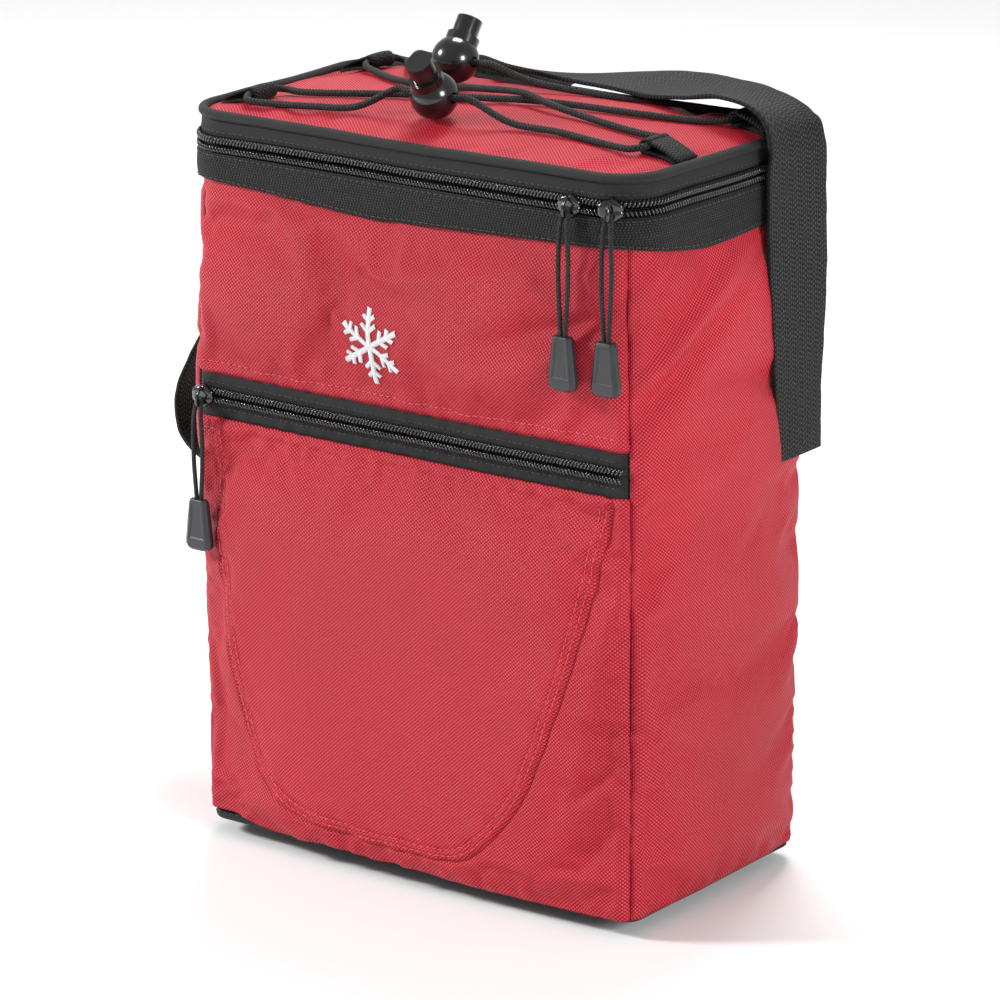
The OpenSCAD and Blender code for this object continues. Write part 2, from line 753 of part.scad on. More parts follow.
pull_end(slider_right_x, zip_z, loop_l);  // pull_end_right
pull_end(slider_pocket_x, pocket_zip_z, pocket_loop_l);  // pull_end_pocket
bungee_cord();
lacing_tab(-1, tab_front_left_y);  // tab_front_left
lacing_tab(1, tab_front_right_y);  // tab_front_right
lacing_tab(-1, tab_rear_y);  // tab_rear_left
lacing_tab(1, tab_rear_y);  // tab_rear_right
lock_body(lock_front_at, lock_lean);  // lock_body_front
lock_body(lock_rear_at, -lock_lean);  // lock_body_rear
lock_button(lock_front_at, lock_lean);  // lock_button_front
lock_button(lock_rear_at, -lock_lean);  // lock_button_rear
lock_spring(lock_front_at, lock_lean);  // lock_spring_front
lock_spring(lock_rear_at, -lock_lean);  // lock_spring_rear
shoulder_strap();
strap_end_left();
strap_end_right();
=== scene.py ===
import logging
import math
from dataclasses import dataclass, field
from enum import Enum
from typing import Callable, Optional, Sequence

import bmesh
import bpy
import numpy as np
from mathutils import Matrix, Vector, noise


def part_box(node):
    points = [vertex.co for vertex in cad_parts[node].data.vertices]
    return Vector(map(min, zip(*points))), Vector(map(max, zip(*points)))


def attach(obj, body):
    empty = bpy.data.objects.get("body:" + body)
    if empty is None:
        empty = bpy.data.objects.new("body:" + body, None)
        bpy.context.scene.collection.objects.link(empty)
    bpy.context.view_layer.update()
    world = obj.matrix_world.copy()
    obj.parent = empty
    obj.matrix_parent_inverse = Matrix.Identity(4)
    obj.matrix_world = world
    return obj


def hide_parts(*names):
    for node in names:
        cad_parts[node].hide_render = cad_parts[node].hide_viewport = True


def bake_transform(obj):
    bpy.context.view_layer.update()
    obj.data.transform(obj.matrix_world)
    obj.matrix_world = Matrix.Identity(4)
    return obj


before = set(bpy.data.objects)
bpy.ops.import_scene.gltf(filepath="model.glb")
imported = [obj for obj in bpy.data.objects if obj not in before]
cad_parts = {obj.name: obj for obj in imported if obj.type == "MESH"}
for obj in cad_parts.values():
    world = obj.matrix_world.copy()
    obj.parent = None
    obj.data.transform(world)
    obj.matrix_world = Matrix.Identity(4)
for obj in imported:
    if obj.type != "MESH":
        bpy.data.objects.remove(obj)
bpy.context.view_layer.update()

LOG = logging.getLogger("cooler_bag")
MM = 0.001
EDGE_STITCH = 5.4 * MM
Array = np.ndarray
Piece = bpy.types.Object


# ---------------------------------------------------------------- sizes


class Side(Enum):
    """The four upright sides of the bag, counter-clockwise from the front."""

    FRONT = 0
    RIGHT = 1
    BACK = 2
    LEFT = 3

    @property
    def across(self) -> bool:
        """True for the two wide sides."""
        return self in (Side.FRONT, Side.BACK)


@dataclass(frozen=True)
class BagSizes:
    """Sizes that every sub-assembly shares, in metres, read from the frame."""

    half_w: float
    half_d: float
    band_top: float
    pocket_low: float
    pocket_top: float
    zip_z: float
    tooth_row: float
    piping_z: float
    piping_r: float
    crown_top: float
    soft_corner: float = 21 * MM
    sharp_corner: float = 7 * MM
    flare_x: float = 4.5 * MM
    flare_y: float = 2.2 * MM

    def flare(self, z: float) -> tuple[float, float, Array]:
        """How much wider and deeper the bag is at a height than at its foot, to the left and front.

        Args:
            z: The height.

        Returns:
            Extra half width, extra half depth and the shift of the middle.
        """
        share = float(ease(np.array((z - 0.03) / 0.24)))
        half = np.array([self.flare_x, self.flare_y]) / 2 * share
        return half[0], half[1], -half

    def walk(self, inward: float, radius: float, step: float, sides: Sequence[Side], z: float
             ) -> tuple[Array, Array]:
        """Walks round the bag at a height.

        Args:
            inward: How far inside its side the line runs.
            radius: The line's corner radius.
            step: Length of a step.
            sides: The sides in order.
            z: The height.

        Returns:
            The points and the outward directions, both flat.
        """
        wide, deep, middle = self.flare(z)
        xy, out = ring_walk(self.half_w + wide - inward, self.half_d + deep - inward, radius, step, sides)
        return xy + middle, out

    @property
    def edge_z(self) -> float:
        """Height at which the crowned top starts."""
        return self.piping_z + 0.5 * MM

    @property
    def crown_rise(self) -> float:
        """How far the crowned top rises over its edge."""
        return self.crown_top - self.edge_z


def read_sizes() -> BagSizes:
    """Reads the shared sizes from the frame's own boxes.

    Returns:
        The sizes of the bag.
    """
    lower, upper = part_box("lower_zip_coil"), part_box("upper_zip_coil")
    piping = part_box("lid_piping")
    return BagSizes(
        half_w=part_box("right_side_panel")[1].x,
        half_d=-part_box("pocket_panel")[0].y,
        band_top=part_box("top_band")[1].z,
        pocket_low=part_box("pocket_panel")[1].z,
        pocket_top=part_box("front_upper_panel")[0].z,
        zip_z=(lower[1].z + upper[0].z) / 2,
        tooth_row=lower[1].z - lower[0].z,
        piping_z=(piping[0].z + piping[1].z) / 2,
        piping_r=(piping[1].z - piping[0].z) / 2,
        crown_top=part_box("lid_panel")[1].z,
    )


# ---------------------------------------------------------------- plain geometry


def catmull_weights(f: Array) -> Array:
    """Weights of the four points round a place on a smooth line.

    Args:
        f: The place between the two middle points, from 0 to 1.

    Returns:
        Four weights for each place.
    """
    f2, f3 = f * f, f * f * f
    return np.stack([(-f3 + 2 * f2 - f) / 2, (3 * f3 - 5 * f2 + 2) / 2,
                     (-3 * f3 + 4 * f2 + f) / 2, (f3 - f2) / 2], axis=-1)


def smooth_sample(grid: Array, a: Array, b: Array) -> Array:
    """Reads a grid of points between its own places.

    Args:
        grid: Points in rows and columns.
        a: Places along the first direction, in cells.
        b: Places along the second direction, in cells.

    Returns:
        One point for each place.
    """
    n, m = grid.shape[:2]
    i = np.clip(np.floor(a).astype(int), 0, n - 2)
    j = np.clip(np.floor(b).astype(int), 0, m - 2)
    wa, wb = catmull_weights(a - i), catmull_weights(b - j)
    out = np.zeros(a.shape + (grid.shape[2],))
    for p in range(4):
        for q in range(4):
            ii, jj = np.clip(i + p - 1, 0, n - 1), np.clip(j + q - 1, 0, m - 1)
            out += (wa[..., p] * wb[..., q])[..., None] * grid[ii, jj]
    return out


def smooth_line(points: Sequence[Sequence[float]], steps: int, closed: bool = False) -> Array:
    """A smooth line through points.

    Args:
        points: The points it passes.
        steps: How many parts lie between each two points.
        closed: Whether it returns to its start.

    Returns:
        The points of the smooth line.
    """
    pts = np.array(points, float)
    n = len(pts)
    out = []
    for i in range(n if closed else n - 1):
        near = [(i + k) % n if closed else min(max(i + k, 0), n - 1) for k in (-1, 0, 1, 2)]
        for k in range(steps):
            out.append(catmull_weights(np.array(k / steps)) @ pts[near])
    if not closed:
        out.append(pts[-1])
    return np.array(out)


def even_line(points: Array, step: float, closed: bool = False, measured: int = 3) -> Array:
    """Walks a line at even steps.

    Args:
        points: The line's points, with any other values after their coordinates.
        step: The length of a step, in metres.
        closed: Whether the line returns to its start.
        measured: How many of the values are coordinates.

    Returns:
        Points at even steps along it.
    """
    pts = np.vstack([points, points[:1]]) if closed else points
    runs = length_of(pts[:, :measured])
    count = max(int(round(runs[-1] / step)), 2)
    at = np.linspace(0, runs[-1], count + 1)
    if closed:
        at = at[:-1]
    return np.stack([np.interp(at, runs, pts[:, k]) for k in range(pts.shape[1])], axis=-1)


def length_of(points: Array) -> Array:
    """Length along a line up to each of its points."""
    return np.concatenate([[0], np.cumsum(np.linalg.norm(np.diff(points, axis=0), axis=1))])


def raised(flat: Array, z: object) -> Array:
    """Flat points at a height, or flat directions with 0 for theirs."""
    return np.concatenate([flat, np.broadcast_to(z, flat.shape[:-1])[..., None]], axis=-1)


def off_segment(run: Array, z: Array, a: Array, b: Array) -> tuple[Array, Array]:
    """Measures places against a straight line between two points.

    Args:
        run: The places' lengths along a side.
        z: Their heights.
        a: The line's start.
        b: The line's end.

    Returns:
        Distance from the line, and how far along it the nearest point is, from 0 to 1.
    """
    d = b - a
    px, pz = run - a[0], z - a[1]
    t = np.clip((px * d[0] + pz * d[1]) / (d @ d), 0, 1)
    return np.hypot(px - t * d[0], pz - t * d[1]), t


def unit(v: Array) -> Array:
    """Vectors of length 1 in the same directions."""
    return v / np.maximum(np.linalg.norm(v, axis=-1, keepdims=True), 1e-12)


def ease(x: Array) -> Array:
    """A smooth step from 0 to 1."""
    x = np.clip(x, 0, 1)
    return x * x * (3 - 2 * x)


def ripple(x: Array, seed: float) -> Array:
    """A smooth wave without a visible repeat, between about -1 and 1.

    Args:
        x: Places along it, one unit to a wave.
        seed: A number that picks one wave of many.

    Returns:
        The wave's height at each place.
    """
    return (np.sin(2 * np.pi * x + seed) + 0.6 * np.sin(2 * np.pi * 1.73 * x + 2.1 * seed)
            + 0.4 * np.sin(2 * np.pi * 2.9 * x + 3.7 * seed)) / 2


def new_piece(name: str, verts: Array, faces: Sequence, corner_uv: Optional[Array] = None) -> Piece:
    """Makes a mesh object.

    Args:
        name: The piece's name.
        verts: Its points.
        faces: Its faces, as point numbers.
        corner_uv: A cloth coordinate in metres for each corner of each face, in order.

    Returns:
        The new object, smooth shaded.
    """
    mesh = bpy.data.meshes.new(name)
    mesh.from_pydata(np.asarray(verts, float).tolist(), [],
                     faces.tolist() if isinstance(faces, np.ndarray) else faces)
    if corner_uv is not None:
        layer = mesh.uv_layers.new(name="cloth")
        layer.data.foreach_set("uv", np.asarray(corner_uv, np.float32).ravel())
    mesh.polygons.foreach_set("use_smooth", [True] * len(mesh.polygons))
    mesh.update()
    obj = bpy.data.objects.new(name, mesh)
    bpy.context.scene.collection.objects.link(obj)
    return obj


def grid_faces(n: int, m: int, around: bool = False) -> Array:
    """Faces of a grid of points.

    Args:
        n: Points in the first direction.
        m: Points in the second direction.
        around: Whether the first direction closes on itself.

    Returns:
        Four point numbers for each face.
    """
    i, j = np.meshgrid(np.arange(n if around else n - 1), np.arange(m - 1), indexing="ij")
    k = (i + 1) % n
    return np.stack([i * m + j, k * m + j, k * m + j + 1, i * m + j + 1], axis=-1).reshape(-1, 4)


def grid_piece(name: str, points: Array, uv: Array, around: bool = False, period: float = 0.0) -> Piece:
    """Makes a sheet or tube from a grid of points.

    Args:
        name: The piece's name.
        points: Points in rows and columns.
        uv: A cloth coordinate for each point.
        around: Whether the first direction closes on itself.
        period: Length of cloth once round, where it closes.

    Returns:
        The new object.
    """
    n, m = points.shape[:2]
    faces = grid_faces(n, m, around)
    flat = uv.reshape(-1, 2)[faces].copy()
    if around:
        last = faces[:, 0] // m == n - 1
        flat[last, 1, 0] += period
        flat[last, 2, 0] += period
    return new_piece(name, points.reshape(-1, 3), faces, flat.reshape(-1, 2))


def thicken(obj: Piece, thickness: float, offset: float = -1.0) -> Piece:
    """Gives a sheet its thickness.

    Args:
        obj: The sheet.
        thickness: Its thickness, in metres.
        offset: -1 grows it inwards, 1 outwards and 0 both ways.

    Returns:
        The same object.
    """
    mod = obj.modifiers.new("thickness", "SOLIDIFY")
    mod.thickness = thickness
    mod.offset = offset
    mod.use_even_offset = False
    return obj


def frames_along(line: Array, up: Array, closed: bool) -> tuple[Array, Array, Array]:
    """Directions along a line, and two directions across it.

    Args:
        line: The line's points.
        up: A direction, or one for each point, that the second one across leans to.
        closed: Whether the line returns to its start.

    Returns:
        Along, sideways and up at each point.
    """
    if closed:
        along = np.roll(line, -1, axis=0) - np.roll(line, 1, axis=0)
    else:
        along = np.gradient(line, axis=0)
    along = unit(along)
    sideways = unit(np.cross(np.broadcast_to(up, line.shape), along))
    return along, sideways, np.cross(along, sideways)


def tube_piece(name: str, line: Array, radius: float, sides: int = 10, closed: bool = False,
               up: Sequence[float] = (0, 0, 1), flat: float = 1.0) -> Piece:
    """Makes a round tube along a line.

    Args:
        name: The piece's name.
        line: The line's points.
        radius: The tube's radius.
        sides: Corners of its cross-section.
        closed: Whether the line returns to its start.
        up: A direction the line never follows.
        flat: Its height as a share of its width.

    Returns:
        The new object.
    """
    _, side, top = frames_along(line, np.array(up, float), closed)
    turn = np.linspace(0, 2 * np.pi, sides, endpoint=False)
    rings = (line[:, None] + radius * (np.cos(turn)[None, :, None] * side[:, None]
                                       + flat * np.sin(turn)[None, :, None] * top[:, None]))
    n = len(line)
    run = length_of(np.vstack([line, line[:1]]) if closed else line)
    faces, uv = [], []
    for i in range(n if closed else n - 1):
        k = (i + 1) % n
        for j in range(sides):
            l = (j + 1) % sides
            faces.append([i * sides + j, i * sides + l, k * sides + l, k * sides + j])
            v0, v1 = j * 2 * np.pi * radius / sides, (j + 1) * 2 * np.pi * radius / sides
            uv += [(run[i], v0), (run[i], v1), (run[i + 1], v1), (run[i + 1], v0)]
    if not closed:
        faces.append(list(range(sides - 1, -1, -1)))
        faces.append([(n - 1) * sides + j for j in range(sides)])
        uv += [(0, 0)] * (2 * sides)
    return new_piece(name, rings.reshape(-1, 3), faces, np.array(uv))


def join_tubes(name: str, lines: Sequence[Array], radius: float, sides: int = 6,
               ups: Optional[Sequence[Array]] = None, taper: float = 0.55) -> Piece:
    """Makes many short round threads as one piece.

    Args:
        name: The piece's name.
        lines: The line of each thread.
        radius: Their radius.
        sides: Corners of their cross-section.
        ups: A direction for each that it never follows.
        taper: Size of their ends as a share of their middle.

    Returns:
        The new object.
    """
    turn = np.linspace(0, 2 * np.pi, sides, endpoint=False)
    verts, faces, uv, start = [], [], [], 0
    for index, line in enumerate(lines):
        up = np.array((0, 0, 1.0)) if ups is None else ups[index]
        _, side, top = frames_along(line, up, False)
        n = len(line)
        size = np.full(n, radius)
        size[0] = size[-1] = radius * taper
        ring = (line[:, None] + size[:, None, None] * (np.cos(turn)[None, :, None] * side[:, None]
                                                       + np.sin(turn)[None, :, None] * top[:, None]))
        verts.append(ring.reshape(-1, 3))
        for i in range(n - 1):
            for j in range(sides):
                l = (j + 1) % sides
                faces.append([start + i * sides + j, start + i * sides + l,
                              start + (i + 1) * sides + l, start + (i + 1) * sides + j])
                uv += [(i * radius, j * radius), (i * radius, l * radius),
                       ((i + 1) * radius, l * radius), ((i + 1) * radius, j * radius)]
        faces.append([start + j for j in range(sides - 1, -1, -1)])
        faces.append([start + (n - 1) * sides + j for j in range(sides)])
        uv += [(0, 0)] * (2 * sides)
        start += n * sides
    return new_piece(name, np.vstack(verts), faces, np.array(uv))


def stitches(name: str, line: Array, outward: Array, radius: float = 0.22 * MM,
             stitch: float = 2.5 * MM, space: float = 0.9 * MM) -> Piece:
    """Makes a row of stitches along a line on cloth.

    Args:
        name: The piece's name.
        line: The seam's line, on the cloth.
        outward: The direction off the cloth at each of its points.
        radius: The thread's radius.
        stitch: Length of a stitch.
        space: Length between two stitches.

    Returns:
        The new object.
    """
    run = length_of(line)
    lines, ups = [], []
    at = space
    while at + stitch < run[-1]:
        places = np.linspace(at, at + stitch, 5)
        pts = np.stack([np.interp(places, run, line[:, k]) for k in range(3)], axis=-1)
        out = unit(np.stack([np.interp(places, run, outward[:, k]) for k in range(3)], axis=-1))
        lift = np.array([-0.5, 0.45, 0.8, 0.45, -0.5]) * radius
        lines.append(pts + out * lift[:, None])
        ups.append(out[2])
        at += stitch + space
    return join_tubes(name, lines, radius, 5, ups)


def ring_points(half_w: float, half_d: float, r: float, side: Side, t: Array) -> tuple[Array, Array, Array]:
    """Places along one side of a rounded rectangle.

    Args:
        half_w: Half its width.
        half_d: Half its depth.
        r: Its corner radius.
        side: Which side; each side ends in the middle of its corners.
        t: Places along the side, from -1 to 1.

    Returns:
        The points, the outward directions and the length along the side.
    """
    long, short = (half_w, half_d) if side.across else (half_d, half_w)
    flat = long - r
    run = t * (flat + r * math.pi / 4)
    turn = np.maximum(np.abs(run) - flat, 0) / r
    sign = np.sign(run)
    along = np.where(turn > 0, sign * (flat + r * np.sin(turn)), run)
    away = short - r * (1 - np.cos(turn))
    c, s = round(math.cos(side.value * math.pi / 2)), round(math.sin(side.value * math.pi / 2))
    na, no = sign * np.sin(turn), np.cos(turn)
    xy = np.stack([c * along + s * away, s * along - c * away], axis=-1)
    out = np.stack([c * na + s * no, s * na - c * no], axis=-1)
    return xy, out, run


def ring_walk(half_w: float, half_d: float, r: float, step: float, sides: Sequence[Side]) -> tuple[Array, Array]:
    """Walks along several sides of a rounded rectangle at even steps.

    Args:
        half_w: Half its width.
        half_d: Half its depth.
        r: Its corner radius.
        step: Length of a step.
        sides: The sides in order.

    Returns:
        The points and the outward directions, both flat.
    """
    pts, outs = [], []
    for side in sides:
        xy, out, _ = ring_points(half_w, half_d, r, side, np.linspace(-1, 1, 161))
        pts.append(xy[:-1])
        outs.append(out[:-1])
    both = even_line(np.hstack([np.vstack(pts), np.vstack(outs)]), step, len(sides) == 4, 2)
    return both[:, :2], unit(both[:, 2:])


ALL_ROUND = (Side.BACK, Side.LEFT, Side.FRONT, Side.RIGHT)
ZIP_RUN = (Side.LEFT, Side.FRONT, Side.RIGHT)


def seat(obj: Piece, body: str, material: bpy.types.Material, slot: str, *nodes: str) -> Piece:
    """Puts a finished piece on its body.

    Args:
        obj: The piece.
        body: The body it moves with.
        material: Its finish.
        slot: Not used.
        nodes: The frame's nodes that it stands for.

    Returns:
        The same object.
    """
    obj.data.materials.clear()
    obj.data.materials.append(material)
    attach(obj, body)
    if nodes:
        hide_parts(*nodes)
    return obj


# ---------------------------------------------------------------- finishes


class Shader:
    """A material's node tree, built up step by step."""

    def __init__(self, name: str) -> None:
        """Starts a material with one surface shader."""
        self.material = bpy.data.materials.new(name)
        self.material.use_nodes = True
        self.tree = self.material.node_tree
        self.surface = self.tree.nodes["Principled BSDF"]

    def node(self, kind: str, *inputs: object, **settings: object) -> bpy.types.Node:
        """Adds a node.

        Args:
            kind: The node's type.
            inputs: Values or sockets for its inputs, in order; None leaves one alone.
            settings: Its properties.

        Returns:
            The new node.
        """
        made = self.tree.nodes.new(kind)
        for key, value in settings.items():
            setattr(made, key, value)
        for socket, value in zip(made.inputs, inputs):
            self.feed(socket, value)
        return made

    def feed(self, socket: bpy.types.NodeSocket, value: object) -> None:
        """Links a socket to another, or sets its value."""
        if value is None:
            return
        if isinstance(value, bpy.types.NodeSocket):
            self.tree.links.new(value, socket)
        else:
            socket.default_value = value

    def math(self, operation: str, a: object, b: object = None, c: object = None) -> bpy.types.NodeSocket:
        """Adds a sum of up to three values and returns its result."""
        return self.node("ShaderNodeMath", a, b, c, operation=operation).outputs[0]

    def cloth(self) -> tuple[bpy.types.NodeSocket, bpy.types.NodeSocket]:
        """The cloth coordinates, in metres."""
        split = self.node("ShaderNodeSeparateXYZ", self.node("ShaderNodeUVMap", uv_map="cloth").outputs[0])
        return split.outputs[0], split.outputs[1]

    def place(self) -> bpy.types.NodeSocket:
        """The place on the piece, in metres."""
        return self.node("ShaderNodeTexCoord").outputs["Object"]

    def noise(self, scale: float, detail: float = 3.0, where: Optional[bpy.types.NodeSocket] = None,
              rough: float = 0.5) -> bpy.types.NodeSocket:
        """A cloudy pattern.

        Args:
            scale: Clouds to a metre.
            detail: How much fine detail it has.
            where: The coordinates, or None for the place on the piece.
            rough: How strong the fine detail is.

        Returns:
            The pattern, from 0 to 1.
        """
        made = self.node("ShaderNodeTexNoise", where or self.place())
        made.inputs["Scale"].default_value = scale
        made.inputs["Detail"].default_value = detail
        made.inputs["Roughness"].default_value = rough
        return made.outputs["Fac"]

    def ramp(self, value: object, low: float, high: float, to_low: float = 0.0, to_high: float = 1.0
             ) -> bpy.types.NodeSocket:
        """Turns one range of values smoothly into another.

        Args:
            value: The value to turn.
            low: Its low end.
            high: Its high end.
            to_low: What the low end becomes.
            to_high: What the high end becomes.

        Returns:
            The new value.
        """
        made = self.node("ShaderNodeMapRange", value, low, high, to_low, to_high)
        made.interpolation_type = "SMOOTHSTEP"
        return made.outputs[0]

    def mix(self, share: object, a: object, b: object) -> bpy.types.NodeSocket:
        """A colour between two colours."""
        made = self.node("ShaderNodeMix", data_type="RGBA")
        self.feed(made.inputs[0], share)
        self.feed(made.inputs[6], a)
        self.feed(made.inputs[7], b)
        return made.outputs[2]

    def bump(self, height: object, strength: float, distance: float) -> None:
        """Adds relief over any that is there already.

        Args:
            height: The pattern.
            strength: How strong it is, from 0 to 1.
            distance: How high it stands, in metres.
        """
        made = self.node("ShaderNodeBump")
        made.inputs["Strength"].default_value = strength
        made.inputs["Distance"].default_value = distance
        self.feed(made.inputs["Height"], height)
        below = self.surface.inputs["Normal"].links
        if below:
            self.feed(made.inputs["Normal"], below[0].from_socket)
        self.feed(self.surface.inputs["Normal"], made.outputs[0])

    def plain(self, **values: float) -> None:
        """Sets values that are the same all over the surface; _ stands for a space."""
        for key, value in values.items():
            self.surface.inputs[key.replace("_", " ")].default_value = value


def rgb(r: float, g: float, b: float) -> tuple[float, float, float, float]:
    """A colour as the nodes want it."""
    return (r, g, b, 1.0)


@dataclass(frozen=True)
class WovenCloth:
    """Plain woven polyester: small raised yarns in a checker, with a satin glint painted into the colour of each."""

    name: str
    deep: tuple[float, float, float, float]
    bright: tuple[float, float, float, float]
    pitch: float = 0.88 * MM
    roughness: float = 0.46
    sheen: float = 0.06
    relief: float = 0.26 * MM

    def material(self) -> bpy.types.Material:
        """Builds the finish.

        Returns:
            The material.
        """
        s = Shader(self.name)
        u, v = s.cloth()
        wobble = s.noise(55, 2)
        u = s.math("ADD", u, s.math("MULTIPLY", wobble, 0.8 * MM))
        a = s.math("COSINE", s.math("MULTIPLY", u, math.pi / self.pitch))
        b = s.math("COSINE", s.math("MULTIPLY", v, math.pi / (self.pitch * 0.92)))
        weave = s.math("MULTIPLY", a, b)
        glint = s.ramp(weave, -0.25, 0.6)
        cloud = s.noise(9, 4)
        # Broad patches that make the painted highlight on the yarns stronger in some places and weaker in others.
        painted_glint_patches = s.noise(2.6, 5, rough=0.6)
        glint = s.math("MULTIPLY", glint, s.ramp(painted_glint_patches, 0.3, 0.7, 0.55, 1.0))
        deep = s.mix(s.ramp(cloud, 0.3, 0.7), self.deep, [c * 0.8 for c in self.deep[:3]] + [1])
        # Base colour: the dark red, with the raised yarns painted in the bright colour as a painted highlight.
        s.feed(s.surface.inputs["Base Color"], s.mix(glint, deep, self.bright))
        s.feed(s.surface.inputs["Roughness"], s.ramp(glint, 0, 1, self.roughness + 0.12, self.roughness - 0.1))
        s.bump(s.noise(420, 2), 0.25, 0.05 * MM)
        s.bump(s.math("ABSOLUTE", weave), 0.8, self.relief)
        s.plain(Sheen_Weight=self.sheen, Sheen_Roughness=0.35, Specular_IOR_Level=0.38)
        s.surface.inputs["Sheen Tint"].default_value = self.bright
        return s.material


@dataclass(frozen=True)
class Webbing:
    """Coarse woven webbing: rows of slanting yarns that meet in chevrons."""

    name: str
    base: tuple[float, float, float, float]
    lit: tuple[float, float, float, float]
    row: float = 2.1 * MM
    yarn: float = 1.45 * MM
    chevron: float = 5.8 * MM
    relief: float = 0.35 * MM

    def material(self) -> bpy.types.Material:
        """Builds the finish.

        Returns:
            The material.
        """
        s = Shader(self.name)
        u, v = s.cloth()
        fold = s.math("PINGPONG", v, self.chevron / 2)
        along = s.math("ADD", u, s.math("MULTIPLY", fold, 0.55))
        rows = s.math("COSINE", s.math("MULTIPLY", along, 2 * math.pi / self.row))
        yarns = s.math("COSINE", s.math("MULTIPLY", v, 2 * math.pi / self.yarn))
        height = s.math("ADD", s.math("MULTIPLY", rows, 0.6), s.math("MULTIPLY", yarns, 0.4))
        glint = s.ramp(height, 0.2, 1.0)
        fibre = s.noise(900, 2)
        glint = s.math("MULTIPLY", glint, s.ramp(fibre, 0.25, 0.65, 0.4, 1.0))
        dust = s.ramp(s.noise(38, 4), 0.45, 0.8, 0.0, 0.35)
        base = s.mix(dust, self.base, [c * 1.7 for c in self.base[:3]] + [1])
        # The raised yarns are painted in the lit colour: a painted highlight on each.
        s.feed(s.surface.inputs["Base Color"], s.mix(glint, base, self.lit))
        s.feed(s.surface.inputs["Roughness"], s.ramp(glint, 0, 1, 0.8, 0.55))
        s.bump(fibre, 0.4, 0.08 * MM)
        s.bump(height, 0.9, self.relief)
        s.plain(Sheen_Weight=0.03, Sheen_Roughness=0.5, Specular_IOR_Level=0.3)
        return s.material


@dataclass(frozen=True)
class Herringbone:
    """Fine black tape with a herringbone twill."""

    name: str
    base: tuple[float, float, float, float]
    lit: tuple[float, float, float, float]
    pitch: float = 0.75 * MM
    chevron: float = 3.2 * MM

    def material(self) -> bpy.types.Material:
        """Builds the finish.

        Returns:
            The material.
        """
        s = Shader(self.name)
        u, v = s.cloth()
        fold = s.math("PINGPONG", v, self.chevron)
        line = s.math("COSINE", s.math("MULTIPLY", s.math("ADD", u, fold), 2 * math.pi / self.pitch))
        fibre = s.noise(1100, 2)
        glint = s.math("MULTIPLY", s.ramp(line, 0.1, 1.0), s.ramp(fibre, 0.3, 0.7, 0.3, 1.0))
        tone = s.mix(s.ramp(s.noise(24, 3), 0.35, 0.75), self.base, [c * 1.5 for c in self.base[:3]] + [1])
        # The twill lines are painted in the lit colour: a painted highlight along each.
        s.feed(s.surface.inputs["Base Color"], s.mix(glint, tone, self.lit))
        s.feed(s.surface.inputs["Roughness"], s.ramp(fibre, 0.2, 0.8, 0.6, 0.85))
        s.bump(line, 0.7, 0.12 * MM)
        s.plain(Sheen_Weight=0.03, Sheen_Roughness=0.5, Specular_IOR_Level=0.3)
        return s.material


@dataclass(frozen=True)
class Braid:
    """A braided sleeve on a cord."""

    name: str
    base: tuple[float, float, float, float]
    lit: tuple[float, float, float, float]
    pitch: float = 1.5 * MM
    round_length: float = 9.4 * MM

    def material(self) -> bpy.types.Material:
        """Builds the finish.

        Returns:
            The material.
        """
        s = Shader(self.name)
        u, v = s.cloth()
        slant = self.pitch * 4 / self.round_length
        waves = []
        for sign in (1, -1):
            run = s.math("ADD", u, s.math("MULTIPLY", v, sign * slant))
            waves.append(s.math("COSINE", s.math("MULTIPLY", run, 2 * math.pi / self.pitch)))
        height = s.math("MAXIMUM", waves[0], waves[1])
        glint = s.math("MULTIPLY", s.ramp(height, 0.3, 1.0), s.ramp(s.noise(1400, 2), 0.3, 0.7, 0.2, 1.0))
        # The braid's crests are painted in the lit colour: a painted highlight on each.
        s.feed(s.surface.inputs["Base Color"], s.mix(glint, self.base, self.lit))
        s.feed(s.surface.inputs["Roughness"], s.ramp(glint, 0, 1, 0.75, 0.5))
        s.bump(height, 0.9, 0.2 * MM)
        s.plain(Sheen_Weight=0.03, Specular_IOR_Level=0.3)
        return s.material


@dataclass(frozen=True)
class Moulded:
    """Moulded plastic or enamelled metal with faint marks of use."""

    name: str
    base: tuple[float, float, float, float]
    roughness: float
    coat: float = 0.0
    metallic: float = 0.0
    grain: float = 0.02 * MM
    grain_scale: float = 1500.0

    def material(self) -> bpy.types.Material:
        """Builds the finish.

        Returns:
            The material.
        """
        s = Shader(self.name)
        smear = s.noise(90, 5)
        tone = s.mix(s.ramp(smear, 0.35, 0.7), self.base, [c * 1.45 for c in self.base[:3]] + [1])
        s.feed(s.surface.inputs["Base Color"], tone)
        s.feed(s.surface.inputs["Roughness"], s.ramp(smear, 0.3, 0.7, self.roughness * 0.8, self.roughness * 1.25))
        s.bump(s.noise(self.grain_scale, 2), 0.5, self.grain)
        s.plain(Coat_Weight=self.coat, Coat_Roughness=0.12, Metallic=self.metallic)
        return s.material


@dataclass(frozen=True)
class Thread:
    """Twisted sewing or embroidery thread."""

    name: str
    base: tuple[float, float, float, float]
    twist: float = 0.7 * MM

    def material(self) -> bpy.types.Material:
        """Builds the finish.

        Returns:
            The material.
        """
        s = Shader(self.name)
        split = s.node("ShaderNodeSeparateXYZ", s.place())
        run = s.math("ADD", s.math("ADD", split.outputs[0], split.outputs[1]), split.outputs[2])
        ply = s.math("COSINE", s.math("MULTIPLY", run, 2 * math.pi / self.twist))
        # The twist's grooves are painted darker: painted shade between the plies.
        shade = [c * 0.72 for c in self.base[:3]] + [1]
        s.feed(s.surface.inputs["Base Color"], s.mix(s.ramp(ply, -0.6, 0.8), shade, self.base))
        s.feed(s.surface.inputs["Roughness"], s.ramp(s.noise(700, 2), 0.2, 0.8, 0.4, 0.65))
        s.bump(ply, 0.6, 0.06 * MM)
        s.plain(Sheen_Weight=0.2)
        return s.material


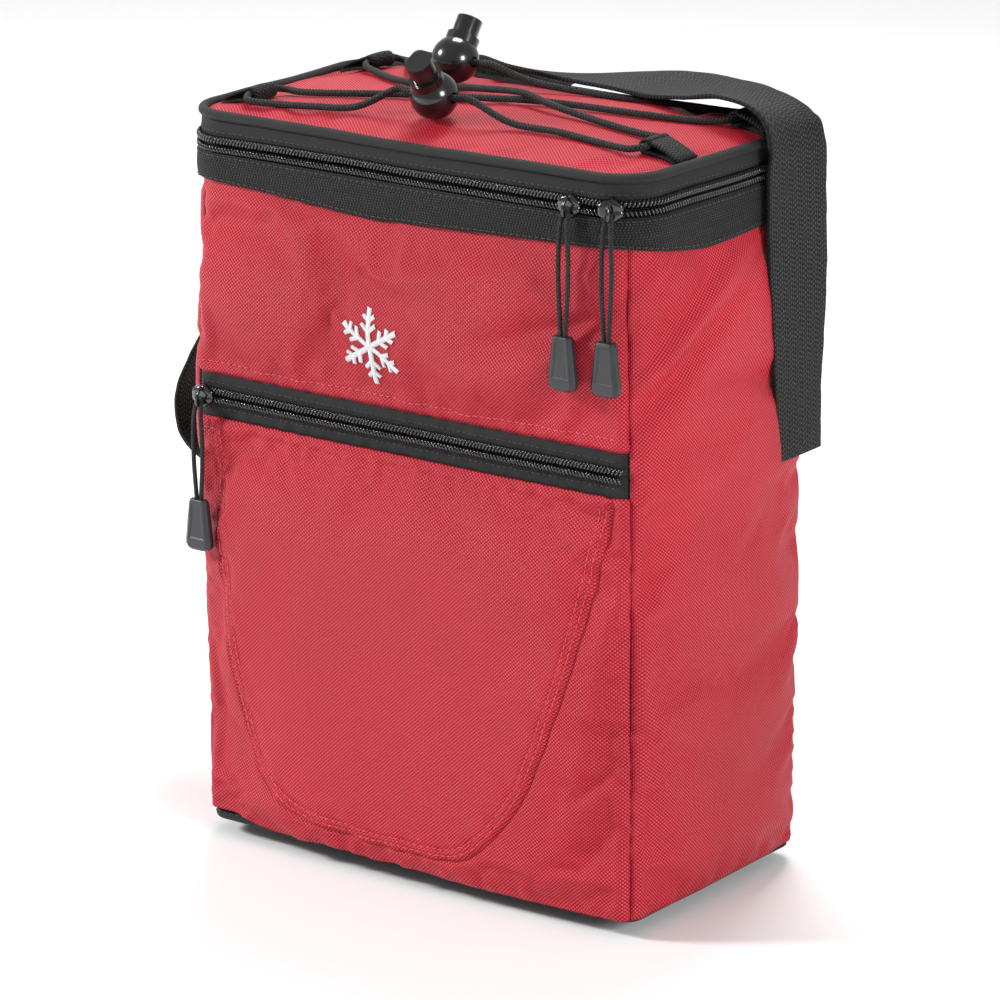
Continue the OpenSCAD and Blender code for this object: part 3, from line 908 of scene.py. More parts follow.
@dataclass(frozen=True)
class FoamBoard:
    """Closed-cell foam with its fine open skin."""

    name: str = "white_foam"

    def material(self) -> bpy.types.Material:
        """Builds the finish.

        Returns:
            The material.
        """
        s = Shader(self.name)
        cells = s.node("ShaderNodeTexVoronoi", s.place())
        cells.inputs["Scale"].default_value = 900
        s.feed(s.surface.inputs["Base Color"], s.mix(s.noise(30, 4), rgb(0.78, 0.78, 0.75), rgb(0.9, 0.9, 0.88)))
        s.feed(s.surface.inputs["Roughness"], s.ramp(s.noise(200, 3), 0.3, 0.7, 0.8, 0.95))
        s.bump(cells.outputs["Distance"], 0.6, 0.15 * MM)
        return s.material


@dataclass(frozen=True)
class FoilLining:
    """Wipe-clean silver film, crumpled a little and pressed with a fine grid."""

    name: str = "silver_lining"

    def material(self) -> bpy.types.Material:
        """Builds the finish.

        Returns:
            The material.
        """
        s = Shader(self.name)
        crumple = s.noise(38, 6, rough=0.62)
        folds = s.node("ShaderNodeTexVoronoi", s.place(), feature="DISTANCE_TO_EDGE")
        folds.inputs["Scale"].default_value = 26
        # The colour follows the crumples, lighter on their crests and darker in their hollows: painted highlight and
        # shade.
        s.feed(s.surface.inputs["Base Color"], s.mix(crumple, rgb(0.62, 0.63, 0.65), rgb(0.84, 0.85, 0.87)))
        s.feed(s.surface.inputs["Roughness"], s.ramp(crumple, 0.3, 0.7, 0.24, 0.42))
        s.bump(s.ramp(folds.outputs["Distance"], 0.0, 0.12), 0.35, 0.6 * MM)
        s.bump(crumple, 0.7, 1.6 * MM)
        s.plain(Metallic=0.75)
        return s.material


@dataclass(frozen=True)
class PaleFloor:
    """A plain pale studio floor."""

    name: str = "studio_floor"

    def material(self) -> bpy.types.Material:
        """Builds the finish.

        Returns:
            The material.
        """
        s = Shader(self.name)
        s.feed(s.surface.inputs["Base Color"], s.mix(s.noise(2, 3), rgb(0.86, 0.86, 0.86), rgb(0.89, 0.89, 0.89)))
        s.plain(Roughness=0.9, Specular_IOR_Level=0.1)
        return s.material


@dataclass(frozen=True)
class FinishSet:
    """Every finish on the bag."""

    red: bpy.types.Material
    pocket_lining: bpy.types.Material
    black_cloth: bpy.types.Material
    band: bpy.types.Material
    strap: bpy.types.Material
    tape: bpy.types.Material
    teeth: bpy.types.Material
    enamel: bpy.types.Material
    pull_cord: bpy.types.Material
    bungee: bpy.types.Material
    pull_end: bpy.types.Material
    lock: bpy.types.Material
    steel: bpy.types.Material
    foam: bpy.types.Material
    foil: bpy.types.Material
    red_thread: bpy.types.Material
    black_thread: bpy.types.Material
    white_thread: bpy.types.Material


def make_finishes() -> FinishSet:
    """Builds every finish once.

    Returns:
        The finishes.
    """
    coal, lit = rgb(0.004, 0.004, 0.0042), rgb(0.045, 0.043, 0.043)
    return FinishSet(
        red=WovenCloth("red_polyester", rgb(0.22, 0.0004, 0.006), rgb(0.95, 0.03, 0.07)).material(),
        pocket_lining=WovenCloth("pocket_lining", rgb(0.2, 0.002, 0.01), rgb(0.4, 0.03, 0.04)).material(),
        black_cloth=WovenCloth("black_polyester", coal, rgb(0.028, 0.028, 0.029), 0.7 * MM, 0.6, 0.03).material(),
        band=Webbing("band_webbing", rgb(0.003, 0.003, 0.003), rgb(0.04, 0.038, 0.038), 1.5 * MM, 1.1 * MM, 4.6 * MM,
                     0.22 * MM).material(),
        strap=Webbing("strap_webbing", rgb(0.004, 0.004, 0.004), rgb(0.06, 0.058, 0.057)).material(),
        tape=Herringbone("zip_tape", rgb(0.004, 0.004, 0.004), rgb(0.045, 0.044, 0.044), 1.0 * MM, 4.6 * MM).material(),
        teeth=Moulded("zip_teeth", rgb(0.006, 0.006, 0.006), 0.2, 0.7).material(),
        enamel=Moulded("black_enamel", rgb(0.004, 0.004, 0.004), 0.16, 0.8).material(),
        pull_cord=Braid("pull_cord", coal, lit, 1.2 * MM, 6.3 * MM).material(),
        bungee=Braid("bungee_braid", coal, lit).material(),
        pull_end=Moulded("grey_moulding", rgb(0.013, 0.014, 0.016), 0.34, 0.15).material(),
        lock=Moulded("black_moulding", rgb(0.004, 0.004, 0.0045), 0.2, 0.5).material(),
        steel=Moulded("spring_steel", rgb(0.55, 0.55, 0.56), 0.3, 0.0, 1.0).material(),
        foam=FoamBoard().material(),
        foil=FoilLining().material(),
        red_thread=Thread("red_thread", rgb(0.85, 0.05, 0.09)).material(),
        black_thread=Thread("black_thread", rgb(0.015, 0.015, 0.015)).material(),
        white_thread=Thread("white_thread", rgb(0.86, 0.86, 0.88)).material(),
    )


# ---------------------------------------------------------------- settling cloth


@dataclass(frozen=True)
class Settling:
    """How a sheet of cloth is left to fill out and crease between its seams."""

    pressure: float = 3.0
    spare: float = 0.02
    frames: int = 20
    bend: float = 0.4

    def run(self, start: Array, faces: Array, pin: Array) -> Array:
        """Runs the cloth.

        Args:
            start: Its points before.
            faces: Its faces.
            pin: How firmly each point is held, from 0 to 1.

        Returns:
            Its points after.
        """
        obj = new_piece("settling", start, faces)
        group = obj.vertex_groups.new(name="pin")
        for index, weight in enumerate(pin):
            group.add([index], float(weight), "REPLACE")
        mod = obj.modifiers.new("Cloth", "CLOTH")
        cloth = mod.settings
        cloth.quality = 5
        cloth.mass = 0.15
        cloth.tension_stiffness = cloth.compression_stiffness = 12
        cloth.shear_stiffness = 6
        cloth.bending_stiffness = self.bend
        cloth.air_damping = 3
        cloth.use_pressure = True
        cloth.uniform_pressure_force = self.pressure
        cloth.shrink_min = -self.spare
        cloth.vertex_group_mass = "pin"
        cloth.effector_weights.gravity = 0
        mod.point_cache.frame_start, mod.point_cache.frame_end = 1, self.frames
        scene = bpy.context.scene
        for number in range(1, self.frames + 1):
            scene.frame_set(number)
        done = obj.evaluated_get(bpy.context.evaluated_depsgraph_get())
        out = np.empty(len(start) * 3)
        done.data.vertices.foreach_get("co", out)
        bpy.data.objects.remove(obj)
        scene.frame_set(1)
        return out.reshape(-1, 3)


# ---------------------------------------------------------------- the body's cloth


@dataclass(frozen=True)
class Fold:
    """A soft fold in the cloth: a ridge, or a hollow where its height is below 0."""

    side: Side
    start: tuple[float, float]
    end: tuple[float, float]
    width: float
    height: float

    def lift(self, run: Array, z: Array) -> Array:
        """How far the cloth stands out because of the fold.

        Args:
            run: Places along the side, in metres from its middle.
            z: Heights, in metres.

        Returns:
            The lift at each place.
        """
        away, t = off_segment(run, z, np.array(self.start), np.array(self.end))
        return self.height * np.exp(-(away / self.width) ** 2) * np.sin(np.pi * (0.08 + 0.84 * t))


def body_folds() -> list[Fold]:
    """The folds of the body, in metres on each side.

    Returns:
        The folds.
    """
    f, r, l, b = Side.FRONT, Side.RIGHT, Side.LEFT, Side.BACK
    rows = [
        (f, -105, 272, 20, 250, 11, -1.6), (f, -20, 262, 100, 277, 9, 1.5), (f, 40, 240, 112, 262, 8, -1.8),
        (f, -112, 250, -60, 222, 12, 1.4), (f, 10, 218, 80, 236, 11, 1.2), (f, -60, 284, -40, 248, 9, 0.9),
        (f, -70, 150, -30, 60, 15, 2.2), (f, -40, 120, 40, 150, 18, 1.4), (f, 20, 60, 70, 130, 13, -1.6),
        (f, -100, 60, -70, 150, 9, 1.3), (f, 85, 30, 108, 150, 8, 1.5), (f, -80, 8, -20, 30, 9, 1.8),
        (f, 0, 8, 60, 18, 7, 1.6), (f, 30, 95, 95, 60, 11, 1.3), (f, -108, 20, -96, 120, 7, -1.2),
        (r, -52, 232, 20, 284, 6, 2.4), (r, -60, 215, -5, 262, 8, -2.0), (r, -55, 195, 10, 172, 11, 1.5),
        (r, -35, 240, -30, 160, 12, 1.3), (r, 10, 150, 50, 100, 13, 1.3), (r, -50, 90, 20, 60, 12, 1.4),
        (r, -58, 130, -40, 20, 9, 1.4), (r, -20, 40, 50, 14, 9, 1.6), (r, 0, 230, 60, 200, 10, -1.5),
        (l, -50, 250, 30, 200, 10, 1.6), (l, -30, 120, 50, 160, 12, -1.5), (l, -50, 50, 30, 30, 10, 1.8),
        (b, -90, 240, 20, 260, 13, 1.8), (b, 0, 180, 90, 220, 15, -1.8), (b, -80, 120, 20, 80, 16, 1.8),
        (b, 30, 60, 100, 110, 12, 1.6), (b, -100, 30, -20, 16, 10, 1.8),
    ]
    return [Fold(s, (x0 * MM, z0 * MM), (x1 * MM, z1 * MM), w * MM, 2.1 * h * MM) for s, x0, z0, x1, z1, w, h in rows]


@dataclass
class BodySkin:
    """The lofted cloth shell of the bag, from its hem to the top band."""

    sizes: BagSizes
    rows: int = 72
    wide_cells: int = 50
    deep_cells: int = 28
    top_z: float = 294 * MM
    cap_out: float = 8.5 * MM
    cap_in: float = 0.9 * MM
    grid: dict = field(default_factory=dict)

    def corner(self, z: Array) -> Array:
        """Corner radius at a height: crisp at the base and soft at the band."""
        s = self.sizes
        return s.sharp_corner + (s.soft_corner - s.sharp_corner) * ease((z - 0.17) / 0.115)

    def plain_puff(self, side: Side, t: Array, z: Array) -> Array:
        """How far the stuffed cloth stands out before it creases.

        Args:
            side: The side.
            t: Places along it, from -1 to 1.
            z: Heights.

        Returns:
            The puff at each place.
        """
        dome = np.clip(1 - t * t, 0, 1)
        low = ease(z / 0.02) * ease((self.sizes.pocket_low - z) / 0.05)
        high = ease((z - self.sizes.pocket_top) / 0.03) * ease((self.top_z - z) / 0.035)
        if side is Side.FRONT:
            hem = 4.2 * MM * dome ** 0.5 * np.exp(-(z / 0.045) ** 2)
            return 3.4 * MM * dome * low + 1.6 * MM * dome * high + hem + 0.8 * MM * dome
        tall = ease(z / 0.03) * ease((self.top_z - z) / 0.06)
        foot = 1.0 * MM * dome * np.exp(-(z / 0.04) ** 2)
        return (2.2 if side is Side.BACK else 2.0) * MM * dome ** 0.8 * tall + foot

    def lay(self, side: Side, t: Array, z: Array) -> tuple[Array, Array, Array, Array]:
        """Points of one side before the cloth settles.

        Args:
            side: The side.
            t: Places along it.
            z: Heights.

        Returns:
            The points, outward directions, lengths along the side and lifts.
        """
        s = self.sizes
        xy, out, run = np.empty(t.shape + (2,)), np.empty(t.shape + (2,)), np.empty(t.shape)
        for j in range(t.shape[1]):
            rise = 1.0 * MM * z[0, j] / s.zip_z
            wide, deep, middle = s.flare(z[0, j])
            xy[:, j], out[:, j], run[:, j] = ring_points(s.half_w - 0.6 * MM + wide, s.half_d - 0.8 * MM + deep + rise,
                                                         float(self.corner(z[0, j])), side, t[:, j])
            xy[:, j] += middle
        lift = self.plain_puff(side, t, z)
        for fold in body_folds():
            if fold.side is side:
                lift = lift + fold.lift(run, z) * ease((z - 0.004) / 0.02) * ease((self.top_z - z) / 0.012)
        for index in np.ndindex(t.shape):
            p = Vector((xy[index][0] * 26, xy[index][1] * 26, z[index] * 20))
            lift[index] += 0.55 * MM * noise.noise(p) * min(1, (self.top_z - z[index]) / 0.01)
        lift = np.minimum(lift, self.reach(z))
        return raised(xy + out * lift[..., None], z), raised(out, 0.0), run, lift

    def reach(self, z: Array) -> Array:
        """How far the cloth may stand out at a height: hardly at all behind the band."""
        return 0.2 * MM + self.cap_out * ease((286 * MM - z) / (22 * MM))

    def build(self) -> None:
        """Lays all four sides, lets them settle as one shell and keeps the result."""
        z = np.linspace(0.6 * MM, self.top_z, self.rows + 1)
        sides, columns, pins = list(Side), [], []
        for side in sides:
            cells = self.wide_cells if side.across else self.deep_cells
            t, zz = np.meshgrid(np.linspace(-1, 1, cells + 1), z, indexing="ij")
            pts, out, run, lift = self.lay(side, t, zz)
            self.grid[side] = {"pts": pts, "out": out, "run": run, "z": zz, "lift": lift}
            hold = np.clip(1 - (self.top_z - zz) / (8 * MM), 0, 1) + np.clip(1 - (zz - z[0]) / (3 * MM), 0, 1)
            hold = hold + 0.75 * np.clip((np.abs(t) - 0.93) / 0.07, 0, 1)
            if side is Side.FRONT:
                strip = (zz > self.sizes.pocket_low - 3 * MM) & (zz < self.sizes.pocket_top + 3 * MM)
                hold = hold + 0.9 * strip
            columns.append(pts[:-1])
            pins.append(np.clip(hold, 0, 1)[:-1])
        start = np.concatenate(columns)
        n, m = start.shape[:2]
        after = Settling(2.2, 0.022).run(start.reshape(-1, 3), grid_faces(n, m, True),
                                         np.concatenate(pins).ravel()).reshape(n, m, 3)
        moved = np.concatenate([after - start, (after - start)[:1]])
        at = 0
        for side in sides:
            cells = self.wide_cells if side.across else self.deep_cells
            self.keep_in_reach(side, moved[at:at + cells + 1])
            at += cells

    def keep_in_reach(self, side: Side, moved: Array) -> None:
        """Adds how the cloth moved to one side, but no further than the caps.

        Args:
            side: The side.
            moved: How each of its points moved.
        """
        g = self.grid[side]
        outward = (moved * g["out"]).sum(-1, keepdims=True)
        slide = moved - outward * g["out"]
        slide *= np.minimum(1, 2 * MM / np.maximum(np.linalg.norm(slide, axis=-1, keepdims=True), 1e-9))
        room = np.maximum(self.reach(g["z"]) - g["lift"], 0.05 * MM)[..., None]
        outward = room * np.tanh(np.maximum(outward, 0) / room) + np.maximum(np.minimum(outward, 0), -self.cap_in)
        g["pts"] = g["pts"] + slide + outward * g["out"]

    def spread(self, z: Array) -> Array:
        """How far the lower part of the cloth is puffed out, on average."""
        return 2 * MM * ease(z / 0.03) * ease((self.top_z - z) / 0.06)

    def hem_rise(self, side: Side, t: Array) -> Array:
        """How far the cloth's lower edge stands above its lowest point along a side."""
        if side is Side.RIGHT:
            return 0.3 * MM + 1.6 * MM * ease((t - 0.5) / 0.5)
        if side is Side.FRONT:
            left = 3.6 * MM * ease((-0.72 - t) / 0.28)
            middle = 1.9 * MM * ease((0.6 - t) / 0.9) * (1 + 0.5 * ripple(t * 2.2, 1.0))
            return left + middle + 0.3 * MM
        return 1.9 * MM + 1.2 * MM * ripple(t * 2, 0.6 + side.value) + 1.7 * MM * t * t

    def sample(self, side: Side, run: Array, z: Array, lift: object = 0.0) -> Array:
        """Points on the settled cloth.

        Args:
            side: The side.
            run: Lengths along the side from its middle.
            z: Heights.
            lift: How far off the cloth.

        Returns:
            The points.
        """
        g = self.grid[side]
        n, m = g["pts"].shape[:2]
        low, high = g["z"][0, 0], g["z"][0, -1]
        b = np.clip((z - low) / (high - low), 0, 1) * (m - 1)
        half = np.interp(b, np.arange(m), g["run"][-1])
        a = np.clip((run / half + 1) / 2, 0, 1) * (n - 1)
        out = unit(smooth_sample(g["out"], a, b))
        return smooth_sample(g["pts"], a, b) + out * np.asarray(lift)[..., None]

    def outward(self, side: Side, run: Array, z: Array) -> Array:
        """Directions off the cloth at places on one side."""
        return unit(self.sample(side, run, z, np.full(np.shape(run), 1.0)) - self.sample(side, run, z))

    def panel(self, name: str, side: Side, low: float, high: float, step: float,
              relief: Optional[Callable[[Array, Array], Array]] = None) -> Piece:
        """Cuts one panel of cloth out of the shell.

        Args:
            name: The piece's name.
            side: The side.
            low: Its lower edge.
            high: Its upper edge.
            step: Size of its mesh.
            relief: Extra lift at places along the side and heights.

        Returns:
            The new object.
        """
        g = self.grid[side]
        n = int(2 * g["run"][-1].max() / step)
        m = int((high - low) / step)
        t, z = np.meshgrid(np.linspace(-1, 1, n + 1), np.linspace(0, 1, m + 1), indexing="ij")
        foot = low if low > 0.1 else low + self.hem_rise(side, t)
        z = foot + (high - foot) * z
        b = np.clip((z - g["z"][0, 0]) / (g["z"][0, -1] - g["z"][0, 0]), 0, 1) * (g["z"].shape[1] - 1)
        run = t * np.interp(b, np.arange(g["z"].shape[1]), g["run"][-1])
        lift = relief(run, z) if relief else np.zeros(run.shape)
        lift = lift - 0.9 * MM * np.exp(-((1 - np.abs(t)) * n / 2.2) ** 2)
        return grid_piece(name, self.sample(side, run, z, lift), np.stack([run, z], axis=-1))


@dataclass
class Body:
    """The sewn body: its red panels, pocket, seams, badge, hem and band."""

    sizes: BagSizes
    finishes: FinishSet
    cloth_t: float = 0.9 * MM
    seam_u: tuple = ((-103.5, 184), (-99, 143), (-93.4, 103), (-88, 66), (-81, 37), (-74, 27), (-66, 21), (-54, 16),
                     (-39, 13), (-8, 12), (19.5, 13), (34, 17), (45, 25), (55, 38), (65, 54), (77, 83), (88, 113),
                     (97, 144), (105.6, 182))

    def __post_init__(self) -> None:
        """Lays and settles the cloth, and finds the pocket's seam."""
        self.skin = BodySkin(self.sizes)
        self.skin.build()
        self.seam = smooth_line(np.array(self.seam_u) * MM, 6)

    def seam_distance(self, run: Array, z: Array) -> Array:
        """Distance to the pocket's curved seam, above 0 inside the curve."""
        best = np.full(run.shape, 1.0)
        side = np.zeros(run.shape)
        for a, b in zip(self.seam[:-1], self.seam[1:]):
            away, _ = off_segment(run, z, a, b)
            near = away < best
            best = np.where(near, away, best)
            turn = (b - a)[0] * (z - a[1]) - (b - a)[1] * (run - a[0])
            side = np.where(near, np.sign(turn), side)
        return best * side

    def pocket_relief(self, run: Array, z: Array) -> Array:
        """Lift of the pocket's cloth: its overlay, its sewn grooves and its rolled top edge."""
        d = self.seam_distance(run, z)
        step = 0.9 * MM * ease((d + 0.6 * MM) / (1.2 * MM))
        step = step - 0.9 * MM * np.exp(-((d + 1.1 * MM) / (0.8 * MM)) ** 2)
        grooves = sum(-0.5 * MM * np.exp(-((d - at * MM) / (0.75 * MM)) ** 2) for at in (1.6, 4.6))
        puckers = 0.4 * MM * np.sin(run / (3.1 * MM) + z / (4.3 * MM)) * np.exp(-((d - 3 * MM) / (7 * MM)) ** 2)
        return step + grooves + puckers + self.rolled_edge(self.sizes.pocket_low - z) + self.hem_tuck(run, z)

    def hem_tuck(self, run: Array, z: Array) -> Array:
        """The cloth's lower edge, turned in above the black hem."""
        return -0.9 * MM * np.exp(-((z - 1.0 * MM) / (2.2 * MM)) ** 2)

    def upper_relief(self, run: Array, z: Array) -> Array:
        """Lift of the cloth over the pocket: its rolled lower edge."""
        return self.rolled_edge(z - self.sizes.pocket_top)

    def rolled_edge(self, fold: Array) -> Array:
        """Relief of cloth that is turned in and stitched down beside a zip.

        Args:
            fold: Distance from the turned edge.

        Returns:
            How far the cloth lifts.
        """
        roll = -0.9 * MM * np.exp(-(fold / (0.9 * MM)) ** 2) + 0.5 * MM * np.exp(-((fold - 3 * MM) / (2.6 * MM)) ** 2)
        return roll - 0.3 * MM * np.exp(-((fold - EDGE_STITCH) / (0.8 * MM)) ** 2)

    def seam_stitching(self) -> None:
        """Sews the pocket's curved seam and the two folded edges beside its zip."""
        s, f = self.sizes, self.finishes
        for index, inset in enumerate((1.6, 4.6)):
            line = even_line(self.seam, 1.2 * MM)
            d = unit(np.gradient(line, axis=0))
            path = line + np.stack([-d[:, 1], d[:, 0]], axis=-1) * inset * MM
            path = path[(path[:, 1] < s.pocket_low - 3 * MM)]
            self.sew(f"pocket_seam_stitches_{index}", Side.FRONT, path, 0.62 * MM, f.red_thread, "red_fabric")
        across = np.arange(-109, 109.5, 1.5) * MM
        for name, z in (("lower", s.pocket_low - EDGE_STITCH), ("upper", s.pocket_top + EDGE_STITCH)):
            path = np.stack([across, np.full(across.shape, z)], axis=-1)
            self.sew(f"pocket_edge_stitches_{name}", Side.FRONT, path, 0.15 * MM, f.red_thread, "red_fabric")

    def sew(self, name: str, side: Side, path: Array, lift: float, material: bpy.types.Material, slot: str) -> Piece:
        """Sews a row of stitches on the body's cloth.

        Args:
            name: The piece's name.
            side: The side it is on.
            path: Lengths along the side and heights.
            lift: How far off the plain cloth its line lies.
            material: The thread.
            slot: A label, passed on to seat.

        Returns:
            The new object.
        """
        line = self.skin.sample(side, path[:, 0], path[:, 1], np.full(len(path), lift))
        out = self.skin.outward(side, path[:, 0], path[:, 1])
        return seat(stitches(name, line, out), "bag", material, slot)

    def panels(self) -> None:
        """Cuts the five red panels."""
        s, f, skin = self.sizes, self.finishes, self.skin
        low, top = 0.7 * MM, 0.293
        cuts = (
            ("front_cloth", Side.FRONT, s.pocket_top, top, 1.8 * MM, self.upper_relief, "front_upper_panel"),
            ("pocket_cloth", Side.FRONT, low, s.pocket_low, 0.85 * MM, self.pocket_relief, "pocket_panel"),
            ("right_cloth", Side.RIGHT, low, top, 2.4 * MM, self.hem_tuck, "right_side_panel"),
            ("back_cloth", Side.BACK, low, top, 2.8 * MM, self.hem_tuck, "back_panel"),
            ("left_cloth", Side.LEFT, low, top, 2.4 * MM, self.hem_tuck, "left_side_panel"),
        )
        for name, side, z0, z1, step, relief, node in cuts:
            piece = thicken(skin.panel(name, side, z0, z1, step, relief), self.cloth_t)
            seat(piece, "bag", f.red, "red_fabric", node)

    def band_edge(self, side: Side, run: Array) -> Array:
        """Height of the top band's wavy lower edge along a side."""
        if side is Side.FRONT:
            return np.interp(run, np.array([-118, -68, -13, 56, 72, 118]) * MM,
                             np.array([290.5, 288, 284.5, 287.5, 288, 289.5]) * MM)
        if side is Side.RIGHT:
            return np.interp(run, np.array([-66, -50, -33, -15, 28, 66]) * MM,
                             np.array([289.5, 287, 284, 281.5, 283, 287]) * MM)
        return 286.5 * MM + 1.6 * MM * ripple(run / 0.13, 1.3 + side.value)

    def band(self) -> None:
        """Makes the black webbing band and its two rows of stitches."""
        s = self.sizes
        step = 2.2 * MM
        xy_all, out_all, low_all = [], [], []
        wide, deep, middle = s.flare(s.band_top)
        for side in ALL_ROUND:
            n = int(2 * (s.half_w if side.across else s.half_d) / step)
            xy, out, run = ring_points(s.half_w + wide + 1.5 * MM, s.half_d + deep + 1.5 * MM,
                                       s.soft_corner + 1.5 * MM, side, np.linspace(-1, 1, n + 1)[:-1])
            xy_all.append(xy + middle)
            out_all.append(out)
            low_all.append(self.band_edge(side, run))
        xy, out, low = np.vstack(xy_all), np.vstack(out_all), np.concatenate(low_all)
        for _ in range(6):
            low = (np.roll(low, 1) + 2 * low + np.roll(low, -1)) / 4
        share = np.linspace(0, 1, 12)[None, :]
        z = low[:, None] + (s.band_top - low[:, None]) * share
        run = length_of(np.vstack([xy, xy[:1]]))
        wave = 0.5 * MM * ripple(run[:-1] / 0.07, 0.7)[:, None] * (1 - share) ** 1.5
        swell = 0.5 * MM * np.sin(np.pi * share)
        flat = xy[:, None] + out[:, None] * (wave + swell)[..., None]
        pts = raised(flat, z)
        uv = np.stack([np.broadcast_to(run[:-1, None], z.shape), z], axis=-1)
        piece = thicken(grid_piece("band_webbing", pts, uv, True, run[-1]), 1.3 * MM)
        seat(piece, "bag", self.finishes.band, "black_webbing", "top_band")
        for index, share_at in enumerate((1, 10)):
            line = pts[:, share_at]
            out3 = raised(out, 0.0)
            seat(stitches(f"band_stitches_{index}", line + out3 * 0.1 * MM, out3, 0.2 * MM, 2.2 * MM), "bag",
                 self.finishes.black_thread, "black_webbing")

    def hem(self) -> None:
        """Makes the black hem that shows in waves under the red cloth."""
        s = self.sizes
        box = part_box("base_binding")
        r = (box[1].z - box[0].z) / 2
        xy, out = ring_walk(box[1].x - r - 4.2 * MM, box[1].y - r - 1.4 * MM, s.sharp_corner, 2.2 * MM, ALL_ROUND)
        run = length_of(xy)
        wave = ripple(run / 0.075, 0.4)
        z = (box[0].z + box[1].z) / 2 + 0.15 * MM * ripple(run / 0.11, 2.0)
        line = raised(xy + out * (0.7 * MM * wave)[:, None], z)
        piece = tube_piece("base_hem", line, r * 1.02, 12, True)
        seat(piece, "bag", self.finishes.black_cloth, "black_fabric", "base_binding")
        top = line + np.array([0, 0, 1.0]) * r * 0.75
        out3 = raised(out, 0.0)
        seat(stitches("base_hem_stitches", top + out3 * r * 0.72, out3, 0.22 * MM, 2.6 * MM), "bag",
             self.finishes.black_thread, "black_fabric")

    def badge(self) -> None:
        """Embroiders a plain six-armed snowflake on the front."""
        centre = np.array([-12.5, 231.0]) * MM
        arms = []
        for k in range(6):
            a = math.radians(30 + 60 * k)
            tip = 16.5 * MM
            arms.append((0.0, tip, a, 0.0))
            for at, reach in ((6.5, 4.6), (11.0, 3.6)):
                for lean in (50, -50):
                    arms.append((at * MM, reach * MM, a, math.radians(lean)))
        lines, ups = [], []
        for start, reach, angle, lean in arms:
            root = centre + start * np.array([math.cos(angle), math.sin(angle)])
            way = np.array([math.cos(angle + lean), math.sin(angle + lean)])
            across = np.array([-way[1], way[0]])
            count = max(int(reach / (0.55 * MM)), 3)
            for step in range(count + 1):
                mid = root + way * reach * step / count
                half = 1.15 * MM * (1 if start == 0 else 0.8)
                slant = way * 0.35 * MM
                ends = np.array([mid - across * half - slant, mid - across * half * 0.4, mid + across * half * 0.4,
                                 mid + across * half + slant])
                lift = np.array([0.0, 0.42, 0.42, 0.0]) * MM
                lines.append(self.skin.sample(Side.FRONT, ends[:, 0], ends[:, 1], lift + 0.12 * MM))
                ups.append(np.array((0, -1.0, 0)))
        seat(join_tubes("embroidered_snowflake", lines, 0.34 * MM, 6, ups, 0.7), "bag",
             self.finishes.white_thread, "white_thread")

    def padding(self) -> None:
        """Cuts the foam boards that follow the cloth, the pocket's inner wall and the inner rim."""
        f, box = self.finishes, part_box("foam_front")
        for name, side, gap in (("front", Side.FRONT, 3.2), ("right", Side.RIGHT, 1.6), ("back", Side.BACK, 1.6),
                                ("left", Side.LEFT, 1.6)):
            board = self.skin.panel(f"{name}_padding", side, box[0].z, self.skin.top_z, 6 * MM,
                                    lambda run, z, gap=gap: np.full(run.shape, -gap * MM) - 0.4 * self.skin.spread(z))
            seat(thicken(board, 4.6 * MM), "bag", f.foam, "foam", f"foam_{name}")
        wall = self.skin.panel("pocket_inner_wall", Side.FRONT, box[0].z, 0.286, 4 * MM,
                               lambda run, z: np.full(run.shape, -1.9 * MM))
        seat(thicken(wall, 0.6 * MM), "bag", f.pocket_lining, "pocket_lining", "pocket_backing")
        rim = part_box("rim_binding")
        xy, _ = self.sizes.walk(3.9 * MM, self.sizes.soft_corner, 3 * MM, ALL_ROUND, rim[0].z)
        line = raised(xy, rim[0].z - 0.2 * MM)
        seat(tube_piece("inner_rim_binding", line, 2.4 * MM, 10, True, flat=0.6), "bag", f.black_cloth, "black_fabric",
             "rim_binding")

    def make(self) -> None:
        """Makes every piece of the body."""
        self.panels()
        self.padding()
        self.seam_stitching()
        self.band()
        self.hem()
        self.badge()


# ---------------------------------------------------------------- the zips


@dataclass
class ZipTeeth:
    """A row of coil teeth: short glossy bars that lean and bulge at their inner ends."""

    pitch: float = 1.7 * MM
    wire: float = 0.52 * MM
    lean: float = 0.8 * MM

    def row(self, name: str, line: Array, out: Array, toward: Array, width: float, lift: float) -> Piece:
        """Makes one row.

        Args:
            name: The piece's name.
            line: The zip's centre line at even steps of the pitch.
            out: The outward direction at each place.
            toward: The direction from the centre line to the tape at each place.
            width: Width of the row.
            lift: How far the teeth stand out.

        Returns:
            The new object.
        """
        along = unit(np.gradient(line, axis=0))
        lines, ups = [], []
        for p, a, o, w in zip(line, along, out, toward):
            shape = ((0.12, 0.35, -1.0), (0.3, 0.95, -0.5), (0.62, 1.0, 0.2), (0.9, 0.72, 0.8), (1.0, 0.2, 1.0))
            lines.append(np.array([p + w * width * x + o * lift * y + a * self.lean * z for x, y, z in shape]))
            ups.append(a)
        return join_tubes(name, lines, self.wire, 6, ups, 0.8)


